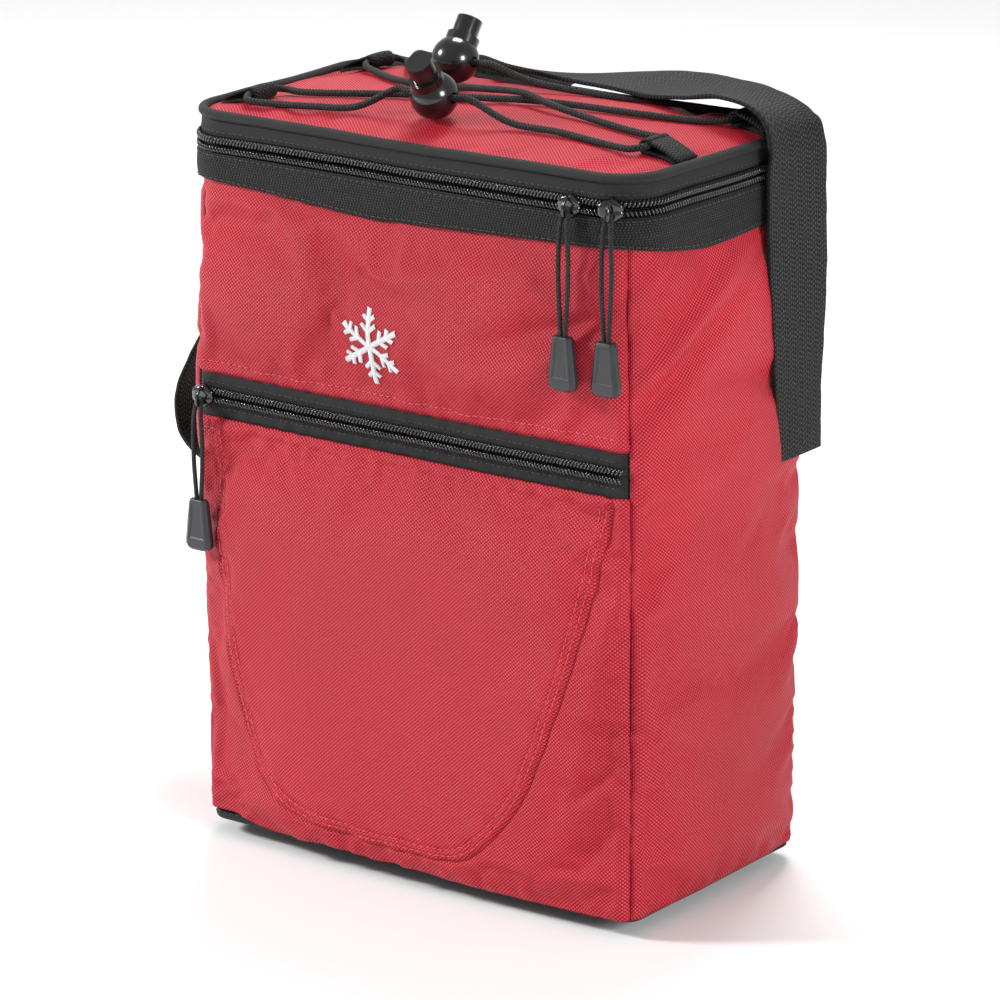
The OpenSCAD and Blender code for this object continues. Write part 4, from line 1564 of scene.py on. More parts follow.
@dataclass
class PocketZip:
    """The zip across the front, over the pocket."""

    sizes: BagSizes
    finishes: FinishSet
    skin: BodySkin
    half_run: float = 111 * MM

    @property
    def centre(self) -> float:
        """Height of the zip's centre line."""
        return (self.sizes.pocket_low + self.sizes.pocket_top) / 2

    def tape(self, name: str, low: float, high: float, node: str) -> None:
        """Makes one tape.

        Args:
            name: The piece's name.
            low: Its lower edge.
            high: Its upper edge.
            node: The frame's node it stands for.
        """
        piece = self.skin.panel(name, Side.FRONT, low, high, 1.6 * MM, lambda run, z: np.full(run.shape, -1.0 * MM))
        seat(thicken(piece, 0.7 * MM), "bag", self.finishes.tape, "zip_tape", node)

    def make(self) -> None:
        """Makes the tapes, the teeth and the tapes' stitches."""
        s, f, mid = self.sizes, self.finishes, self.centre
        self.tape("pocket_tape_up", mid + 0.05 * MM, s.pocket_top + 1.5 * MM, "pocket_tape_upper")
        self.tape("pocket_tape_down", s.pocket_low - 1.5 * MM, mid - 0.05 * MM, "pocket_tape_lower")
        across = np.arange(-self.half_run, self.half_run, ZipTeeth.pitch)
        line = self.skin.sample(Side.FRONT, across, np.full(across.shape, mid), np.full(across.shape, -0.8 * MM))
        out = self.skin.outward(Side.FRONT, across, np.full(across.shape, mid))
        for name, sign, node in (("up", 1, "pocket_coil_upper"), ("down", -1, "pocket_coil_lower")):
            toward = np.tile([0, 0, float(sign)], (len(across), 1))
            shift = unit(np.gradient(line, axis=0)) * (ZipTeeth.pitch / 2 if sign > 0 else 0)
            teeth = ZipTeeth().row(f"pocket_teeth_{name}", line + shift, out, toward, s.tooth_row, 2.1 * MM)
            seat(teeth, "bag", f.teeth, "zip_coil", node)
            z = np.full(across.shape, mid + sign * 5.6 * MM)
            path = self.skin.sample(Side.FRONT, across, z, np.full(across.shape, -0.85 * MM))
            seat(stitches(f"pocket_tape_stitches_{name}", path, out, 0.18 * MM, 2 * MM), "bag", f.black_thread,
                 "zip_tape")


@dataclass
class MainZip:
    """The zip round the lid, its tapes and the cloth that hinges the lid at the back."""

    sizes: BagSizes
    finishes: FinishSet
    inset: float = 0.6 * MM

    def __post_init__(self) -> None:
        """Walks the zip's line once."""
        s = self.sizes
        xy, out = s.walk(self.inset, s.soft_corner - self.inset, ZipTeeth.pitch, ZIP_RUN, s.zip_z)
        keep = xy[:, 1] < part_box("lower_zip_coil")[1].y
        self.xy, self.out = xy[keep], raised(out[keep], 0.0)
        run = length_of(self.xy)
        self.wave = 0.35 * MM * ripple(run / 0.16, 1.1)

    def strip(self, name: str, low: float, high: float, lift: float) -> Piece:
        """Makes a strip of tape along the zip.

        Args:
            name: The piece's name.
            low: Its lower edge.
            high: Its upper edge.
            lift: How far out it lies.

        Returns:
            The new object.
        """
        z = np.linspace(low, high, 9)
        run = length_of(self.xy)
        belly = 0.4 * MM * np.sin(np.linspace(0, np.pi, 9))
        flat = self.xy[:, None] + self.out[:, None, :2] * (lift + belly)[None, :, None]
        pts = raised(flat, z)
        uv = np.stack(np.broadcast_arrays(run[:, None], z[None]), axis=-1)
        return grid_piece(name, pts, uv)

    def hinge(self) -> None:
        """Makes the black cloth at the back that joins the bag to its lid."""
        s = self.sizes
        xy, out = s.walk(0.1 * MM, s.soft_corner, 2 * MM, (Side.RIGHT, Side.BACK, Side.LEFT), s.zip_z)
        keep = xy[:, 1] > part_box("lower_zip_coil")[1].y - 0.5 * MM
        xy, out = xy[keep], out[keep]
        z = np.linspace(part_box("hinge_strip")[0].z - 1.5 * MM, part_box("lid_rear_strip")[1].z, 22)
        flat = np.broadcast_to(xy[:, None], (len(xy), len(z), 2))
        pts = raised(flat, z)
        uv = np.stack(np.broadcast_arrays(length_of(xy)[:, None], z[None]), axis=-1)
        piece = grid_piece("hinge_cloth", pts, uv)
        piece.data.materials.append(self.finishes.black_cloth)
        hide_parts("hinge_strip", "lid_rear_strip")
        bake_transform(piece)

    def make(self) -> None:
        """Makes every piece of the main zip."""
        s, f = self.sizes, self.finishes
        low = thicken(self.strip("zip_tape_bag", s.band_top - 2.5 * MM, s.zip_z - 0.3 * MM, 0), 0.7 * MM)
        seat(low, "bag", f.tape, "zip_tape", "lower_zip_tape")
        high = thicken(self.strip("zip_tape_lid", s.zip_z + 0.3 * MM, s.piping_z - 1.5 * MM, 0), 0.7 * MM)
        seat(high, "lid", f.tape, "zip_tape", "upper_zip_tape")
        line = raised(self.xy, s.zip_z + self.wave)
        for name, sign, body, node in (("lid", 1, "lid", "upper_zip_coil"), ("bag", -1, "bag", "lower_zip_coil")):
            toward = np.tile([0, 0, float(sign)], (len(line), 1))
            shift = unit(np.gradient(line, axis=0)) * (ZipTeeth.pitch / 2 if sign > 0 else 0)
            teeth = ZipTeeth().row(f"zip_teeth_{name}", line + shift + toward * 0.1 * MM, self.out, toward,
                                   s.tooth_row, 2.1 * MM)
            seat(teeth, body, f.teeth, "zip_coil", node)
        path = line + np.array([0, 0, 5.4 * MM]) + self.out * 0.45 * MM
        seat(stitches("zip_tape_stitches", path, self.out, 0.2 * MM, 2.2 * MM), "lid", f.black_thread, "zip_tape")
        self.hinge()


# ---------------------------------------------------------------- sliders and pulls


class PullPlace(Enum):
    """The three zip pulls."""

    LEFT = "left"
    RIGHT = "right"
    POCKET = "pocket"


@dataclass
class ZipPull:
    """A slider with its wire bridge, braided loop and moulded end."""

    sizes: BagSizes
    finishes: FinishSet
    place: PullPlace
    loop_r: float = 1.0 * MM

    def __post_init__(self) -> None:
        """Finds the slider's middle and how far it is turned on the rounded corner."""
        low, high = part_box(f"slider_{self.place.value}")
        self.mid = (low + high) / 2
        self.face_y = low.y
        self.turn = 0.0
        self.back = 0.0
        self.forward = -2 * self.sizes.flare(self.mid.z)[2][1]
        s = self.sizes
        if self.place is PullPlace.RIGHT:
            inner = s.half_w - s.soft_corner
            angle = math.asin(min(max(self.mid.x - inner, 0) / s.soft_corner, 0.9))
            self.turn = angle * 0.8
            self.back = s.soft_corner * (1 - math.cos(angle))

    def placed(self, points: Array) -> Array:
        """Turns and moves points that are built round a slider's own middle.

        Args:
            points: Points with x across, y outward below 0 and z up.

        Returns:
            The points in the bag's frame.
        """
        c, s = math.cos(self.turn), math.sin(self.turn)
        x, y = points[..., 0] * c - points[..., 1] * s, points[..., 0] * s + points[..., 1] * c
        return np.stack([x + self.mid.x, y + self.face_y + self.back - self.forward, points[..., 2] + self.mid.z],
                        axis=-1)

    def slider(self) -> None:
        """Makes the slider: a waisted, crowned plate with flared wings, and its bridge."""
        name = self.place.value
        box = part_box(f"slider_{name}")
        half_h = (box[1].z - box[0].z) / 2 + 0.6 * MM
        half_w = (box[1].x - box[0].x) / 2
        n, m = 21, 13
        u, v = np.meshgrid(np.linspace(-1, 1, n), np.linspace(-1, 1, m), indexing="ij")
        width = half_h * (0.74 + 0.3 * np.cos(np.pi * u * 0.9) - 0.16 * np.exp(-((u + 0.15) / 0.25) ** 2))
        x = u * half_w * 1.12
        z = v * width
        edge = np.clip(1 - (np.abs(u) ** 6), 0, 1) * np.clip(1 - (np.abs(v) ** 4), 0, 1)
        y = 1.5 * MM - 2.0 * MM * edge ** 0.4 + 0.5 * MM * np.exp(-(v / 0.22) ** 2) * (u > -0.2)
        front = self.placed(np.stack([x, y, z], axis=-1))
        plate = thicken(grid_piece(f"slider_plate_{name}", front, np.stack([x, z], axis=-1)), 0.9 * MM)
        seat(plate, f"slider_{name}", self.finishes.enamel, "slider_metal", f"slider_{name}")
        eye_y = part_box(f"bridge_{name}")[0].y - self.face_y + 1.0 * MM
        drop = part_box(f"bridge_{name}")[0].z - self.mid.z + 1.0 * MM
        arch = smooth_line(np.array([[0, 0.4 * MM, 3.4 * MM], [0, -1.2 * MM, 3.0 * MM], [0, eye_y, 1.0 * MM],
                                     [0, eye_y - 0.5 * MM, -1.4 * MM], [0, eye_y, drop],
                                     [0, -1.0 * MM, drop - 0.6 * MM], [0, 0.6 * MM, drop + 0.2 * MM]]), 6)
        bridge = tube_piece(f"slider_bridge_{name}", self.placed(arch), 0.95 * MM, 10,
                            up=(1, 0, 0), flat=0.6)
        seat(bridge, f"slider_{name}", self.finishes.enamel, "slider_metal", f"bridge_{name}")

    def pull(self) -> None:
        """Makes the braided loop through the bridge and the moulded end it hangs in."""
        name = self.place.value
        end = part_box(f"pull_end_{name}")
        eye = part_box(f"loop_{name}")[1].z - self.loop_r * 1.6 - 1.3 * MM
        y_mid = (end[0].y + end[1].y) / 2 + self.back - self.forward
        x_mid = (end[0].x + end[1].x) / 2 + math.sin(self.turn) * 1.5 * MM
        top = end[1].z
        drop = eye - top
        left = [[-0.9, 0, -4.5], [-1.6, 0, drop / MM * 0.12], [-2.3, -0.2, drop / MM * 0.4],
                [-2.6, 0.1, drop / MM * 0.68], [-2.0, 0.2, drop / MM * 0.9], [-1.1, 1.2, drop / MM + 1.4]]
        over = [[0, 2.3, drop / MM + 1.9]]
        right = [[1.1, 1.2, drop / MM + 1.2], [1.9, -0.2, drop / MM * 0.88],
                 [2.7, -0.5, drop / MM * 0.62], [2.2, -0.1, drop / MM * 0.35], [1.5, 0, drop / MM * 0.12],
                 [0.9, 0, -4.5]]
        line = smooth_line(np.array(left + over + right) * MM, 5)
        line = line + np.array([x_mid, y_mid, top])
        loop = tube_piece(f"pull_loop_{name}", line, self.loop_r, 10, up=(0, 1, 0.2))
        seat(loop, f"pull_{name}", self.finishes.pull_cord, "braided_cord", f"loop_{name}")
        tip = self.end_piece(name, end, y_mid, x_mid)

    def end_piece(self, name: str, end: tuple, y_mid: float, x_mid: float) -> Piece:
        """Makes the moulded end: tapered, chamfered, with a raised rim round a sunk face.

        Args:
            name: Which pull.
            end: Its box in the frame.
            y_mid: Its middle, front to back.
            x_mid: Its middle, side to side.

        Returns:
            The new object.
        """
        h = end[1].z - end[0].z
        foot = (end[1].x - end[0].x) / 2
        depth = (end[1].y - end[0].y) / 2
        rows = ((1.0, 0.5, 0.55), (0.985, 0.6, 0.8), (0.94, 0.67, 0.95), (0.6, 0.82, 1.0), (0.2, 0.98, 1.0),
                (0.1, 0.98, 0.96), (0.04, 0.84, 0.85), (0.0, 0.55, 0.6))
        corners = ((-1, 0.45), (-1, -0.45), (-0.72, -1), (0.72, -1), (1, -0.45), (1, 0.45), (0.72, 1), (-0.72, 1))
        verts = [[x_mid + cx * foot * w, y_mid + cy * depth * d, end[0].z + h * zz]
                 for zz, w, d in rows for cx, cy in corners]
        mesh = bmesh.new()
        vs = [mesh.verts.new(v) for v in verts]
        for i in range(len(rows) - 1):
            for j in range(8):
                k = (j + 1) % 8
                mesh.faces.new([vs[i * 8 + j], vs[i * 8 + k], vs[(i + 1) * 8 + k], vs[(i + 1) * 8 + j]])
        mesh.faces.new(vs[7::-1])
        mesh.faces.new(vs[-8:])
        bmesh.ops.recalc_face_normals(mesh, faces=mesh.faces)
        broad = [f for f in mesh.faces if f.normal.y < -0.9 and f.calc_area() > 40e-6]
        bmesh.ops.inset_region(mesh, faces=broad, thickness=1.3 * MM, depth=0)
        inner = [f for f in broad if f.is_valid]
        bmesh.ops.inset_region(mesh, faces=inner, thickness=0.35 * MM, depth=-0.4 * MM)
        data = bpy.data.meshes.new(f"pull_tip_{name}")
        mesh.to_mesh(data)
        mesh.free()
        obj = bpy.data.objects.new(f"pull_tip_{name}", data)
        bpy.context.scene.collection.objects.link(obj)
        bevel = obj.modifiers.new("edges", "BEVEL")
        bevel.width, bevel.segments, bevel.limit_method, bevel.angle_limit = 0.35 * MM, 3, "ANGLE", math.radians(24)
        for poly in data.polygons:
            poly.use_smooth = False
        return seat(obj, f"pull_{name}", self.finishes.pull_end, "moulded_grey", f"pull_end_{name}")

    def make(self) -> None:
        """Makes the whole pull."""
        self.slider()
        self.pull()


# ---------------------------------------------------------------- the lid


@dataclass
class Lid:
    """The padded lid: its crowned cloth, its edge and its piping."""

    sizes: BagSizes
    finishes: FinishSet
    inset: float = 2.4 * MM
    step: float = 2.9 * MM

    def height(self, x: Array, y: Array) -> Array:
        """Height of the plain crown at a place, as the frame has it."""
        s = self.sizes
        lid_in = s.half_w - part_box("lid_panel")[1].x
        share = np.maximum(np.abs(x) / (s.half_w - lid_in), np.abs(y) / (s.half_d - lid_in))
        return s.edge_z + s.crown_rise * (1 - np.minimum(share, 1) ** 2)

    def crown(self) -> Array:
        """A grid of points over the lid, whose edge follows the lid's rounded outline.

        Returns:
            Points in rows and columns.
        """
        s = self.sizes
        extra_w, extra_d, middle = s.flare(s.edge_z)
        n, m = int(2 * s.half_w / self.step), int(2 * s.half_d / self.step)
        a, b = np.meshgrid(np.linspace(-1, 1, n + 1), np.linspace(-1, 1, m + 1), indexing="ij")
        share = np.maximum(np.maximum(np.abs(a), np.abs(b)), 1e-9)
        flat = np.zeros(a.shape + (2,))
        wide = np.abs(b) >= np.abs(a)
        for side, picked, t in ((Side.FRONT, wide & (b < 0), a), (Side.BACK, wide & (b >= 0), -a),
                                (Side.RIGHT, ~wide & (a > 0), b), (Side.LEFT, ~wide & (a <= 0), -b)):
            xy, _, _ = ring_points(s.half_w + extra_w - self.inset, s.half_d + extra_d - self.inset,
                                   s.soft_corner - self.inset, side, (t / share)[picked])
            flat[picked] = xy * share[picked][:, None] + middle
        z = s.edge_z - 0.8 * MM + (s.crown_rise + 0.6 * MM) * (0.4 * (1 - share ** 2) + 0.6 * (1 - share ** 5))
        z = np.minimum(z, self.height(flat[..., 0], flat[..., 1]) + 0.5 * MM)
        for index in np.ndindex(z.shape):
            x, y = flat[index]
            wave = noise.noise(Vector((x * 22, y * 22, 3.1))) + 0.6 * noise.noise(Vector((x * 55, y * 40, 7.7)))
            near = math.exp(-((1 - share[index]) / 0.16) ** 2)
            z[index] += (0.7 * wave - 0.35) * MM * min(1.0, (1 - share[index]) / 0.05) * (0.8 + 0.9 * near)
        return raised(flat, z)

    def cloth(self) -> None:
        """Makes the crowned red cloth and lets it settle over its padding."""
        pts = self.crown()
        n, m = pts.shape[:2]
        pin = np.ones((n, m))
        pin[1:-1, 1:-1] = 0
        after = Settling(1.6, 0.03, 16, 0.3).run(pts.reshape(-1, 3), grid_faces(n, m), pin.ravel())
        moved = after.reshape(n, m, 3) - pts
        moved[..., 2] = np.clip(moved[..., 2], -2.2 * MM, 0.35 * MM)
        moved[..., :2] = np.clip(moved[..., :2], -1.2 * MM, 1.2 * MM)
        pts = pts + moved
        obj = thicken(grid_piece("lid_cloth", pts, pts[..., :2]), 0.9 * MM)
        sub = obj.modifiers.new("smooth", "SUBSURF")
        sub.levels = sub.render_levels = 1
        seat(obj, "lid", self.finishes.red, "red_fabric", "lid_panel")
        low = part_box("lid_foam")[0].z
        board = pts[::2, ::2] * np.array([0.975, 0.96, 1.0])
        board[..., 2] = np.maximum(board[..., 2] - 2.6 * MM, low + 4 * MM)
        pad = thicken(grid_piece("lid_padding", board, board[..., :2]), 3.6 * MM)
        seat(pad, "lid", self.finishes.foam, "foam", "lid_foam")

    def edge(self) -> None:
        """Makes the piping round the lid."""
        s = self.sizes
        xy, out = s.walk(0.8 * MM, s.soft_corner, 2 * MM, ALL_ROUND, s.piping_z)
        run = length_of(xy)
        z = s.piping_z + 0.45 * MM * ripple(run / 0.17, 0.2)
        line = raised(xy + out * (0.25 * MM * ripple(run / 0.06, 2.2))[:, None], z)
        seat(tube_piece("lid_piping_cord", line, s.piping_r, 14, True), "lid", self.finishes.black_cloth,
             "black_fabric", "lid_piping")

    def make(self) -> None:
        """Makes every piece of the lid."""
        self.cloth()
        self.edge()


# ---------------------------------------------------------------- the lacing


@dataclass
class Lacing:
    """The bungee cord, the four webbing tabs it runs through and the two cord locks."""

    sizes: BagSizes
    finishes: FinishSet
    lid: Lid
    cord_r: float = 1.5 * MM
    tab_half: float = 7.0 * MM
    lock_r: float = 10.3 * MM
    lift: float = 2.3 * MM
    eye_x: float = 96 * MM
    eye_lift: float = 4.3 * MM

    def over(self, x: float, y: float, lift: float) -> list[float]:
        """A point of the cord over the lid; all in millimetres."""
        z = float(self.lid.height(np.array(x * MM), np.array(y * MM)))
        return [x * MM, y * MM, z + self.lift + lift * MM]

    def eye(self, sign: int, y: float, step: float) -> list[float]:
        """A point of the cord in a tab; all in millimetres."""
        z = float(self.lid.height(np.array(self.eye_x), np.array(abs(y) * MM)))
        return [sign * self.eye_x, (y + step) * MM, z + self.eye_lift]

    def lock_run(self, name: str) -> list[list[float]]:
        """Five points of the cord through a cord lock."""
        low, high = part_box(f"lock_body_{name}")
        lean = {"front": -1, "rear": 1}[name]
        y = low.y + self.lock_r if lean > 0 else high.y - self.lock_r
        x = (low.x + high.x) / 2
        return [[x + d * MM, y, low.z + self.lock_r] for d in (-20, -13, 0, 13, 20)]

    def route(self) -> Array:
        """The cord's route, the same as the frame's.

        Returns:
            A smooth closed line.
        """
        o, e = self.over, self.eye
        points = [
            e(-1, -41, -3.5), e(-1, -41, -8.5), o(-93, -53, 0.8), o(-84, -51, 0), o(-62, -47, 0), o(-42, -44, 1.5),
            *self.lock_run("front"),
            o(32, -36, 1.5), o(55, -34, 0), o(80, -36, 0), o(91, -36.5, 0.8),
            e(1, -24, -8.5), e(1, -24, -3.5), e(1, -24, 3.5), e(1, -24, 8.5),
            o(91, -11, 0.8), o(80, -11, 0), o(58, -9, 0), o(30, -5, 1.5), o(12, 0, 3), o(-12, 2, 1.5), o(-36, 3, 0),
            o(-60, 8, 0), o(-82, 22, 0), o(-92, 28, 0.8),
            e(-1, 41, -8.5), e(-1, 41, -3.5), e(-1, 41, 3.5), e(-1, 41, 8.5),
            o(-92, 53, 0.8), o(-84, 47, 1), o(-72, 31, 2.5),
            *self.lock_run("rear"),
            o(0, 26, 2.5), o(28, 38, 0), o(60, 48, 0), o(82, 53, 0), o(91, 53.5, 0.8),
            e(1, 41, 8.5), e(1, 41, 3.5), e(1, 41, -3.5), e(1, 41, -8.5),
            o(91, 28, 0.8), o(80, 22, 0), o(56, 12, 0), o(32, 6, 0), o(12, 0, 0), o(-12, -10, 0), o(-36, -18, 0),
            o(-60, -26, 0), o(-82, -29, 0), o(-92, -28, 0.8), e(-1, -41, 8.5), e(-1, -41, 3.5),
        ]
        return even_line(smooth_line(points, 6, True), 1.3 * MM, True)

    def cord(self) -> None:
        """Makes the cord."""
        seat(tube_piece("bungee_lace", self.route(), self.cord_r, 12, True), "lid", self.finishes.bungee, "bungee",
             "bungee_cord")

    def tab(self, name: str, sign: int, y: float) -> None:
        """Makes a tab: webbing folded round the cord and sewn into the lid's edge.

        Args:
            name: Which tab.
            sign: Its side of the lid.
            y: Its middle, front to back, in millimetres.
        """
        eye = self.eye(1, y, 0)
        r = 2.75 * MM
        root = [self.sizes.half_w - 3.2 * MM, self.sizes.edge_z + 0.9 * MM]
        down = math.atan2(root[1] - eye[2], root[0] - eye[0])
        path = [[root[0], root[1] + 0.8 * MM], [eye[0] + 9.5 * MM, eye[2] - 1.0 * MM]]
        for k in range(15):
            a = down + math.radians(62 + k * (360 - 124) / 14)
            path.append([eye[0] + r * math.cos(a), eye[2] + r * math.sin(a)])
        path += [[eye[0] + 8.0 * MM, eye[2] - 3.6 * MM], [root[0], root[1] - 0.5 * MM]]
        line = smooth_line(np.array(path), 2)
        across = np.linspace(-1, 1, 9)
        pts = np.empty((len(line), 9, 3))
        pts[..., 0] = sign * line[:, None, 0]
        pts[..., 1] = y * MM + across[None] * self.tab_half * (1 - 0.04 * np.cos(line[:, None, 0] * 300))
        pts[..., 2] = line[:, None, 1] - 0.35 * MM * (across[None] ** 2)
        run = length_of(line)
        uv = np.stack(np.broadcast_arrays(run[:, None], across[None] * self.tab_half), axis=-1)
        obj = thicken(grid_piece(f"lace_tab_{name}", pts, uv), 1.1 * MM, 0)
        seat(obj, "lid", self.finishes.band, "black_webbing", f"tab_{name}")

    def locks(self) -> None:
        """Gives the cord locks their finishes."""
        for name in ("front", "rear"):
            for node, material in ((f"lock_body_{name}", self.finishes.lock),
                                   (f"lock_button_{name}", self.finishes.lock),
                                   (f"lock_spring_{name}", self.finishes.steel)):
                dress_node(node, material)

    def make(self) -> None:
        """Makes every piece of the lacing."""
        self.cord()
        for name, sign, y in (("front_left", -1, -41), ("front_right", 1, -24), ("rear_left", -1, 41),
                              ("rear_right", 1, 41)):
            self.tab(name, sign, y)
        self.locks()


# ---------------------------------------------------------------- the strap


@dataclass
class Strap:
    """The shoulder strap, in its draped shape, with its stitched ends."""

    finishes: FinishSet
    width: float = 39 * MM
    thickness: float = 1.7 * MM

    def stations(self) -> list[tuple]:
        """The strap's middle line in millimetres and the direction across it, from its right end.

        Returns:
            A place, a direction, a share of the full width and how far the edges droop, for each station.
        """
        return [
            ((119.4, 50, 179), (0, 1, -0.06), 0.88, 0), ((119.4, 50, 190), (0, 1, -0.03), 0.87, 0),
            ((119.2, 49.6, 205), (0, 1, 0), 0.88, 0), ((119.8, 48.2, 230), (0, 1, 0), 0.98, 0),
            ((120.2, 46.2, 262), (0, 1, 0), 1.1, 0), ((120.4, 44, 290), (0, 1, 0), 1.11, 0),
            ((120.5, 43, 305), (0, 1, -0.04), 1.1, 0.4), ((120.3, 42.5, 315), (0, 1, -0.08), 1.06, 0.8),
            ((117.3, 42, 323.6), (0, 1, -0.12), 1.03, 1.2), ((108.5, 43, 328.2), (-0.04, 1, -0.12), 1, 2.0),
            ((92, 46, 330.0), (-0.12, 1, -0.08), 1, 2.2), ((75, 50, 329.2), (-0.17, 1, 0.0), 1, 1.6),
            ((47, 57, 327.3), (-0.2, 1, 0.06), 1, 1.0), ((24, 59, 326.6), (-0.1, 1, -0.02), 1, 0.4),
            ((-5, 63, 324.8), (-0.08, 1, -0.16), 1, 0), ((-27, 66.5, 322.0), (0, 0.95, -0.35), 1, 0),
            ((-44, 71.5, 317.5), (0.15, 0.75, -0.6), 1, 0),
            ((-60, 74.5, 309), (0.35, 0.45, -0.8), 1, 0), ((-77, 75.5, 295), (0.6, 0.2, -0.75), 1, 0),
            ((-96, 75, 279), (0.7, 0.15, -0.7), 1, 0), ((-117, 74, 260), (0.7, 0.25, -0.66), 1, 0),
            ((-140, 70.5, 239), (0.65, 0.5, -0.6), 1, 0), ((-164, 65, 216), (0.45, 0.8, -0.4), 1, 0),
            ((-188, 59, 191), (0.2, 0.97, -0.15), 1, 0), ((-203, 54, 169), (0.05, 1, 0), 1, 0),
            ((-207, 51, 151), (0, 1, 0), 1, 0), ((-200, 49, 136), (0, 1, 0), 1, 0),
            ((-184, 48, 129), (0, 1, 0), 1, 0), ((-165, 48, 132), (0, 1, 0), 1, 0),
            ((-149, 49, 143), (0, 1, 0), 1, 0), ((-134, 50, 158), (0, 1, 0), 1, 0),
            ((-125.5, 51.5, 175), (0, 1, 0), 1, 0), ((-122.5, 52, 195), (0, 1, 0), 1, 0),
        ]

    def make(self) -> None:
        """Makes the strap and the stitches at its ends."""
        rows = self.stations()
        line = smooth_line(np.array([r[0] for r in rows]) * MM, 10)
        across = smooth_line(np.array([r[1] for r in rows], float), 10)
        share, droop = smooth_line(np.array([[r[2], r[3] * MM] for r in rows]), 10).T
        along = unit(np.gradient(line, axis=0))
        across = unit(across - (across * along).sum(-1, keepdims=True) * along)
        off = np.cross(along, across)
        v = np.linspace(-1, 1, 17)
        run = length_of(line)
        cup = 0.8 * MM * ripple(run / 0.16, 0.9)[:, None] * (v[None] ** 2 - 0.4) - droop[:, None] * v[None] ** 2
        fray = 0.35 * MM * ripple(run / 0.021, 1.9)[:, None] * np.sign(v)[None] * (np.abs(v)[None] > 0.99)
        wide = (self.width / 2 * share[:, None] * v[None] + fray)
        pts = line[:, None] + across[:, None] * wide[..., None] + off[:, None] * cup[..., None]
        uv = np.stack(np.broadcast_arrays(run[:, None], v[None] * self.width / 2), axis=-1)
        obj = thicken(grid_piece("strap_webbing", pts, uv), self.thickness, 0)
        seat(obj, "strap", self.finishes.strap, "black_webbing", "shoulder_strap")
        for name, first, last in (("right", 2, 16), ("left", len(line) - 14, len(line) - 2)):
            for index, row in enumerate((first, last)):
                at = pts[row, 2:-2]
                out = np.tile(off[row], (len(at), 1)) * (-1 if name == "left" else 1)
                line_out = even_line(at + out * self.thickness / 2, 1.2 * MM)
                seat(stitches(f"strap_stitches_{name}_{index}", line_out, np.tile(out[0], (len(line_out), 1)),
                              0.3 * MM, 2.6 * MM, 0.7 * MM), "strap", self.finishes.black_thread, "black_webbing")


# ---------------------------------------------------------------- carried-over nodes


def dress_node(node: str, material: bpy.types.Material) -> None:
    """Gives a node of the frame its finish.

    Args:
        node: The node's name.
        material: The finish.
    """
    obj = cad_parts[node]
    if not obj.data.materials:
        obj.data.materials.append(material)
    for index in range(len(obj.data.materials)):
        obj.data.materials[index] = material


@dataclass
class Inside:
    """The padding and lining, which keep the frame's own shapes."""

    finishes: FinishSet

    def make(self) -> None:
        """Dresses the boards, the liners and the other inner pieces."""
        f = self.finishes
        dress_node("foam_base", f.foam)
        for node in ("liner", "lid_liner"):
            dress_node(node, f.foil)
        dress_node("base_panel", f.black_cloth)
        for node in ("strap_end_left", "strap_end_right"):
            dress_node(node, f.strap)


# ---------------------------------------------------------------- the studio


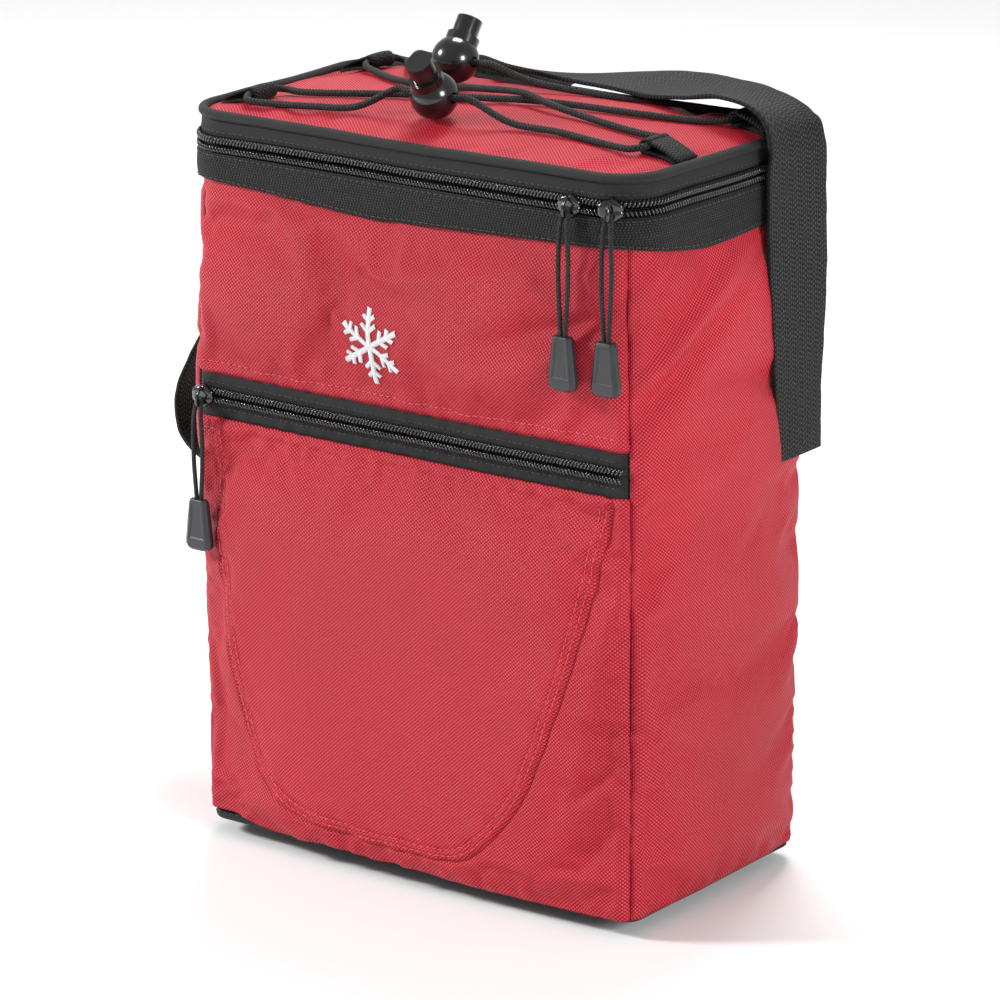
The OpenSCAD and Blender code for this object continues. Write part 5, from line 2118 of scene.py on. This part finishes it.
@dataclass
class Studio:
    """The camera, the floor and the soft lights."""

    azimuth: float = 36.3
    elevation: float = 16.6
    distance: float = 2.23
    lens: float = 186.7
    aim: tuple[float, float, float] = (0.0, 0.0, 0.150)

    def camera(self) -> None:
        """Makes the camera."""
        data = bpy.data.cameras.new("studio_camera")
        data.lens = self.lens
        data.clip_end = 20
        cam = bpy.data.objects.new("studio_camera", data)
        a, e = math.radians(self.azimuth), math.radians(self.elevation)
        back = Vector((math.sin(a) * math.cos(e), -math.cos(a) * math.cos(e), math.sin(e)))
        cam.location = Vector(self.aim) + back * self.distance
        cam.rotation_euler = (-back).to_track_quat("-Z", "Y").to_euler()
        bpy.context.scene.collection.objects.link(cam)
        bpy.context.scene.camera = cam

    def light(self, name: str, place: Sequence[float], size: float, power: float) -> None:
        """Makes a soft light that points at the bag.

        Args:
            name: The light's name.
            place: Where it is.
            size: Its width.
            power: Its power in watts.
        """
        data = bpy.data.lights.new(name, "AREA")
        data.size, data.energy = size, power
        lamp = bpy.data.objects.new(name, data)
        lamp.location = place
        lamp.rotation_euler = (Vector((0, 0, 0.16)) - Vector(place)).to_track_quat("-Z", "Y").to_euler()
        bpy.context.scene.collection.objects.link(lamp)

    def floor(self, material: bpy.types.Material) -> None:
        """Makes a floor that curves up behind the bag."""
        profile = [(-6, 0), (2.2, 0), (2.8, 0.1), (3.2, 0.4), (3.4, 1.0), (3.5, 4.0)]
        line = smooth_line([(y, z, 0) for y, z in profile], 5)
        a = math.radians(self.azimuth)
        verts = []
        for y, z, _ in line:
            for x in (-6, 6):
                verts.append((x * math.cos(a) - y * math.sin(a), x * math.sin(a) + y * math.cos(a), z - 0.05 * MM))
        faces = [[2 * i, 2 * i + 1, 2 * i + 3, 2 * i + 2] for i in range(len(line) - 1)]
        obj = new_piece("floor", np.array(verts), faces)
        obj.data.materials.append(material)

    def make(self) -> None:
        """Makes the lights, the floor and the plain surroundings."""
        self.light("key_right", (2.0, -0.5, 0.9), 0.6, 30)
        self.light("key_left", (-1.7, -1.2, 1.3), 0.4, 52)
        self.light("top_soft", (-0.4, 0.9, 1.9), 0.8, 30)
        self.floor(PaleFloor().material())
        world = bpy.data.worlds.new("studio_air")
        world.use_nodes = True
        world.node_tree.nodes["Background"].inputs["Color"].default_value = rgb(1, 1, 1)
        world.node_tree.nodes["Background"].inputs["Strength"].default_value = 0.45
        scene = bpy.context.scene
        scene.world = world
        scene.view_settings.view_transform = "Standard"


def main() -> None:
    """Builds the bag piece by piece."""
    logging.basicConfig(level=logging.INFO, format="%(message)s")
    studio = Studio()
    studio.camera()
    sizes = read_sizes()
    finishes = make_finishes()
    lid = Lid(sizes, finishes)
    body = Body(sizes, finishes)
    pulls = [ZipPull(sizes, finishes, place) for place in PullPlace]
    steps: list[tuple[str, object]] = [
        ("body", body), ("pocket zip", PocketZip(sizes, finishes, body.skin)), ("main zip", MainZip(sizes, finishes)),
        ("lid", lid), ("lacing", Lacing(sizes, finishes, lid)), ("strap", Strap(finishes)),
        ("inside", Inside(finishes)), ("studio", studio),
    ] + [(f"pull {pull.place.value}", pull) for pull in pulls]
    for name, step in steps:
        step.make()
        LOG.info("made the %s", name)


if __name__ == "__main__":
    main()
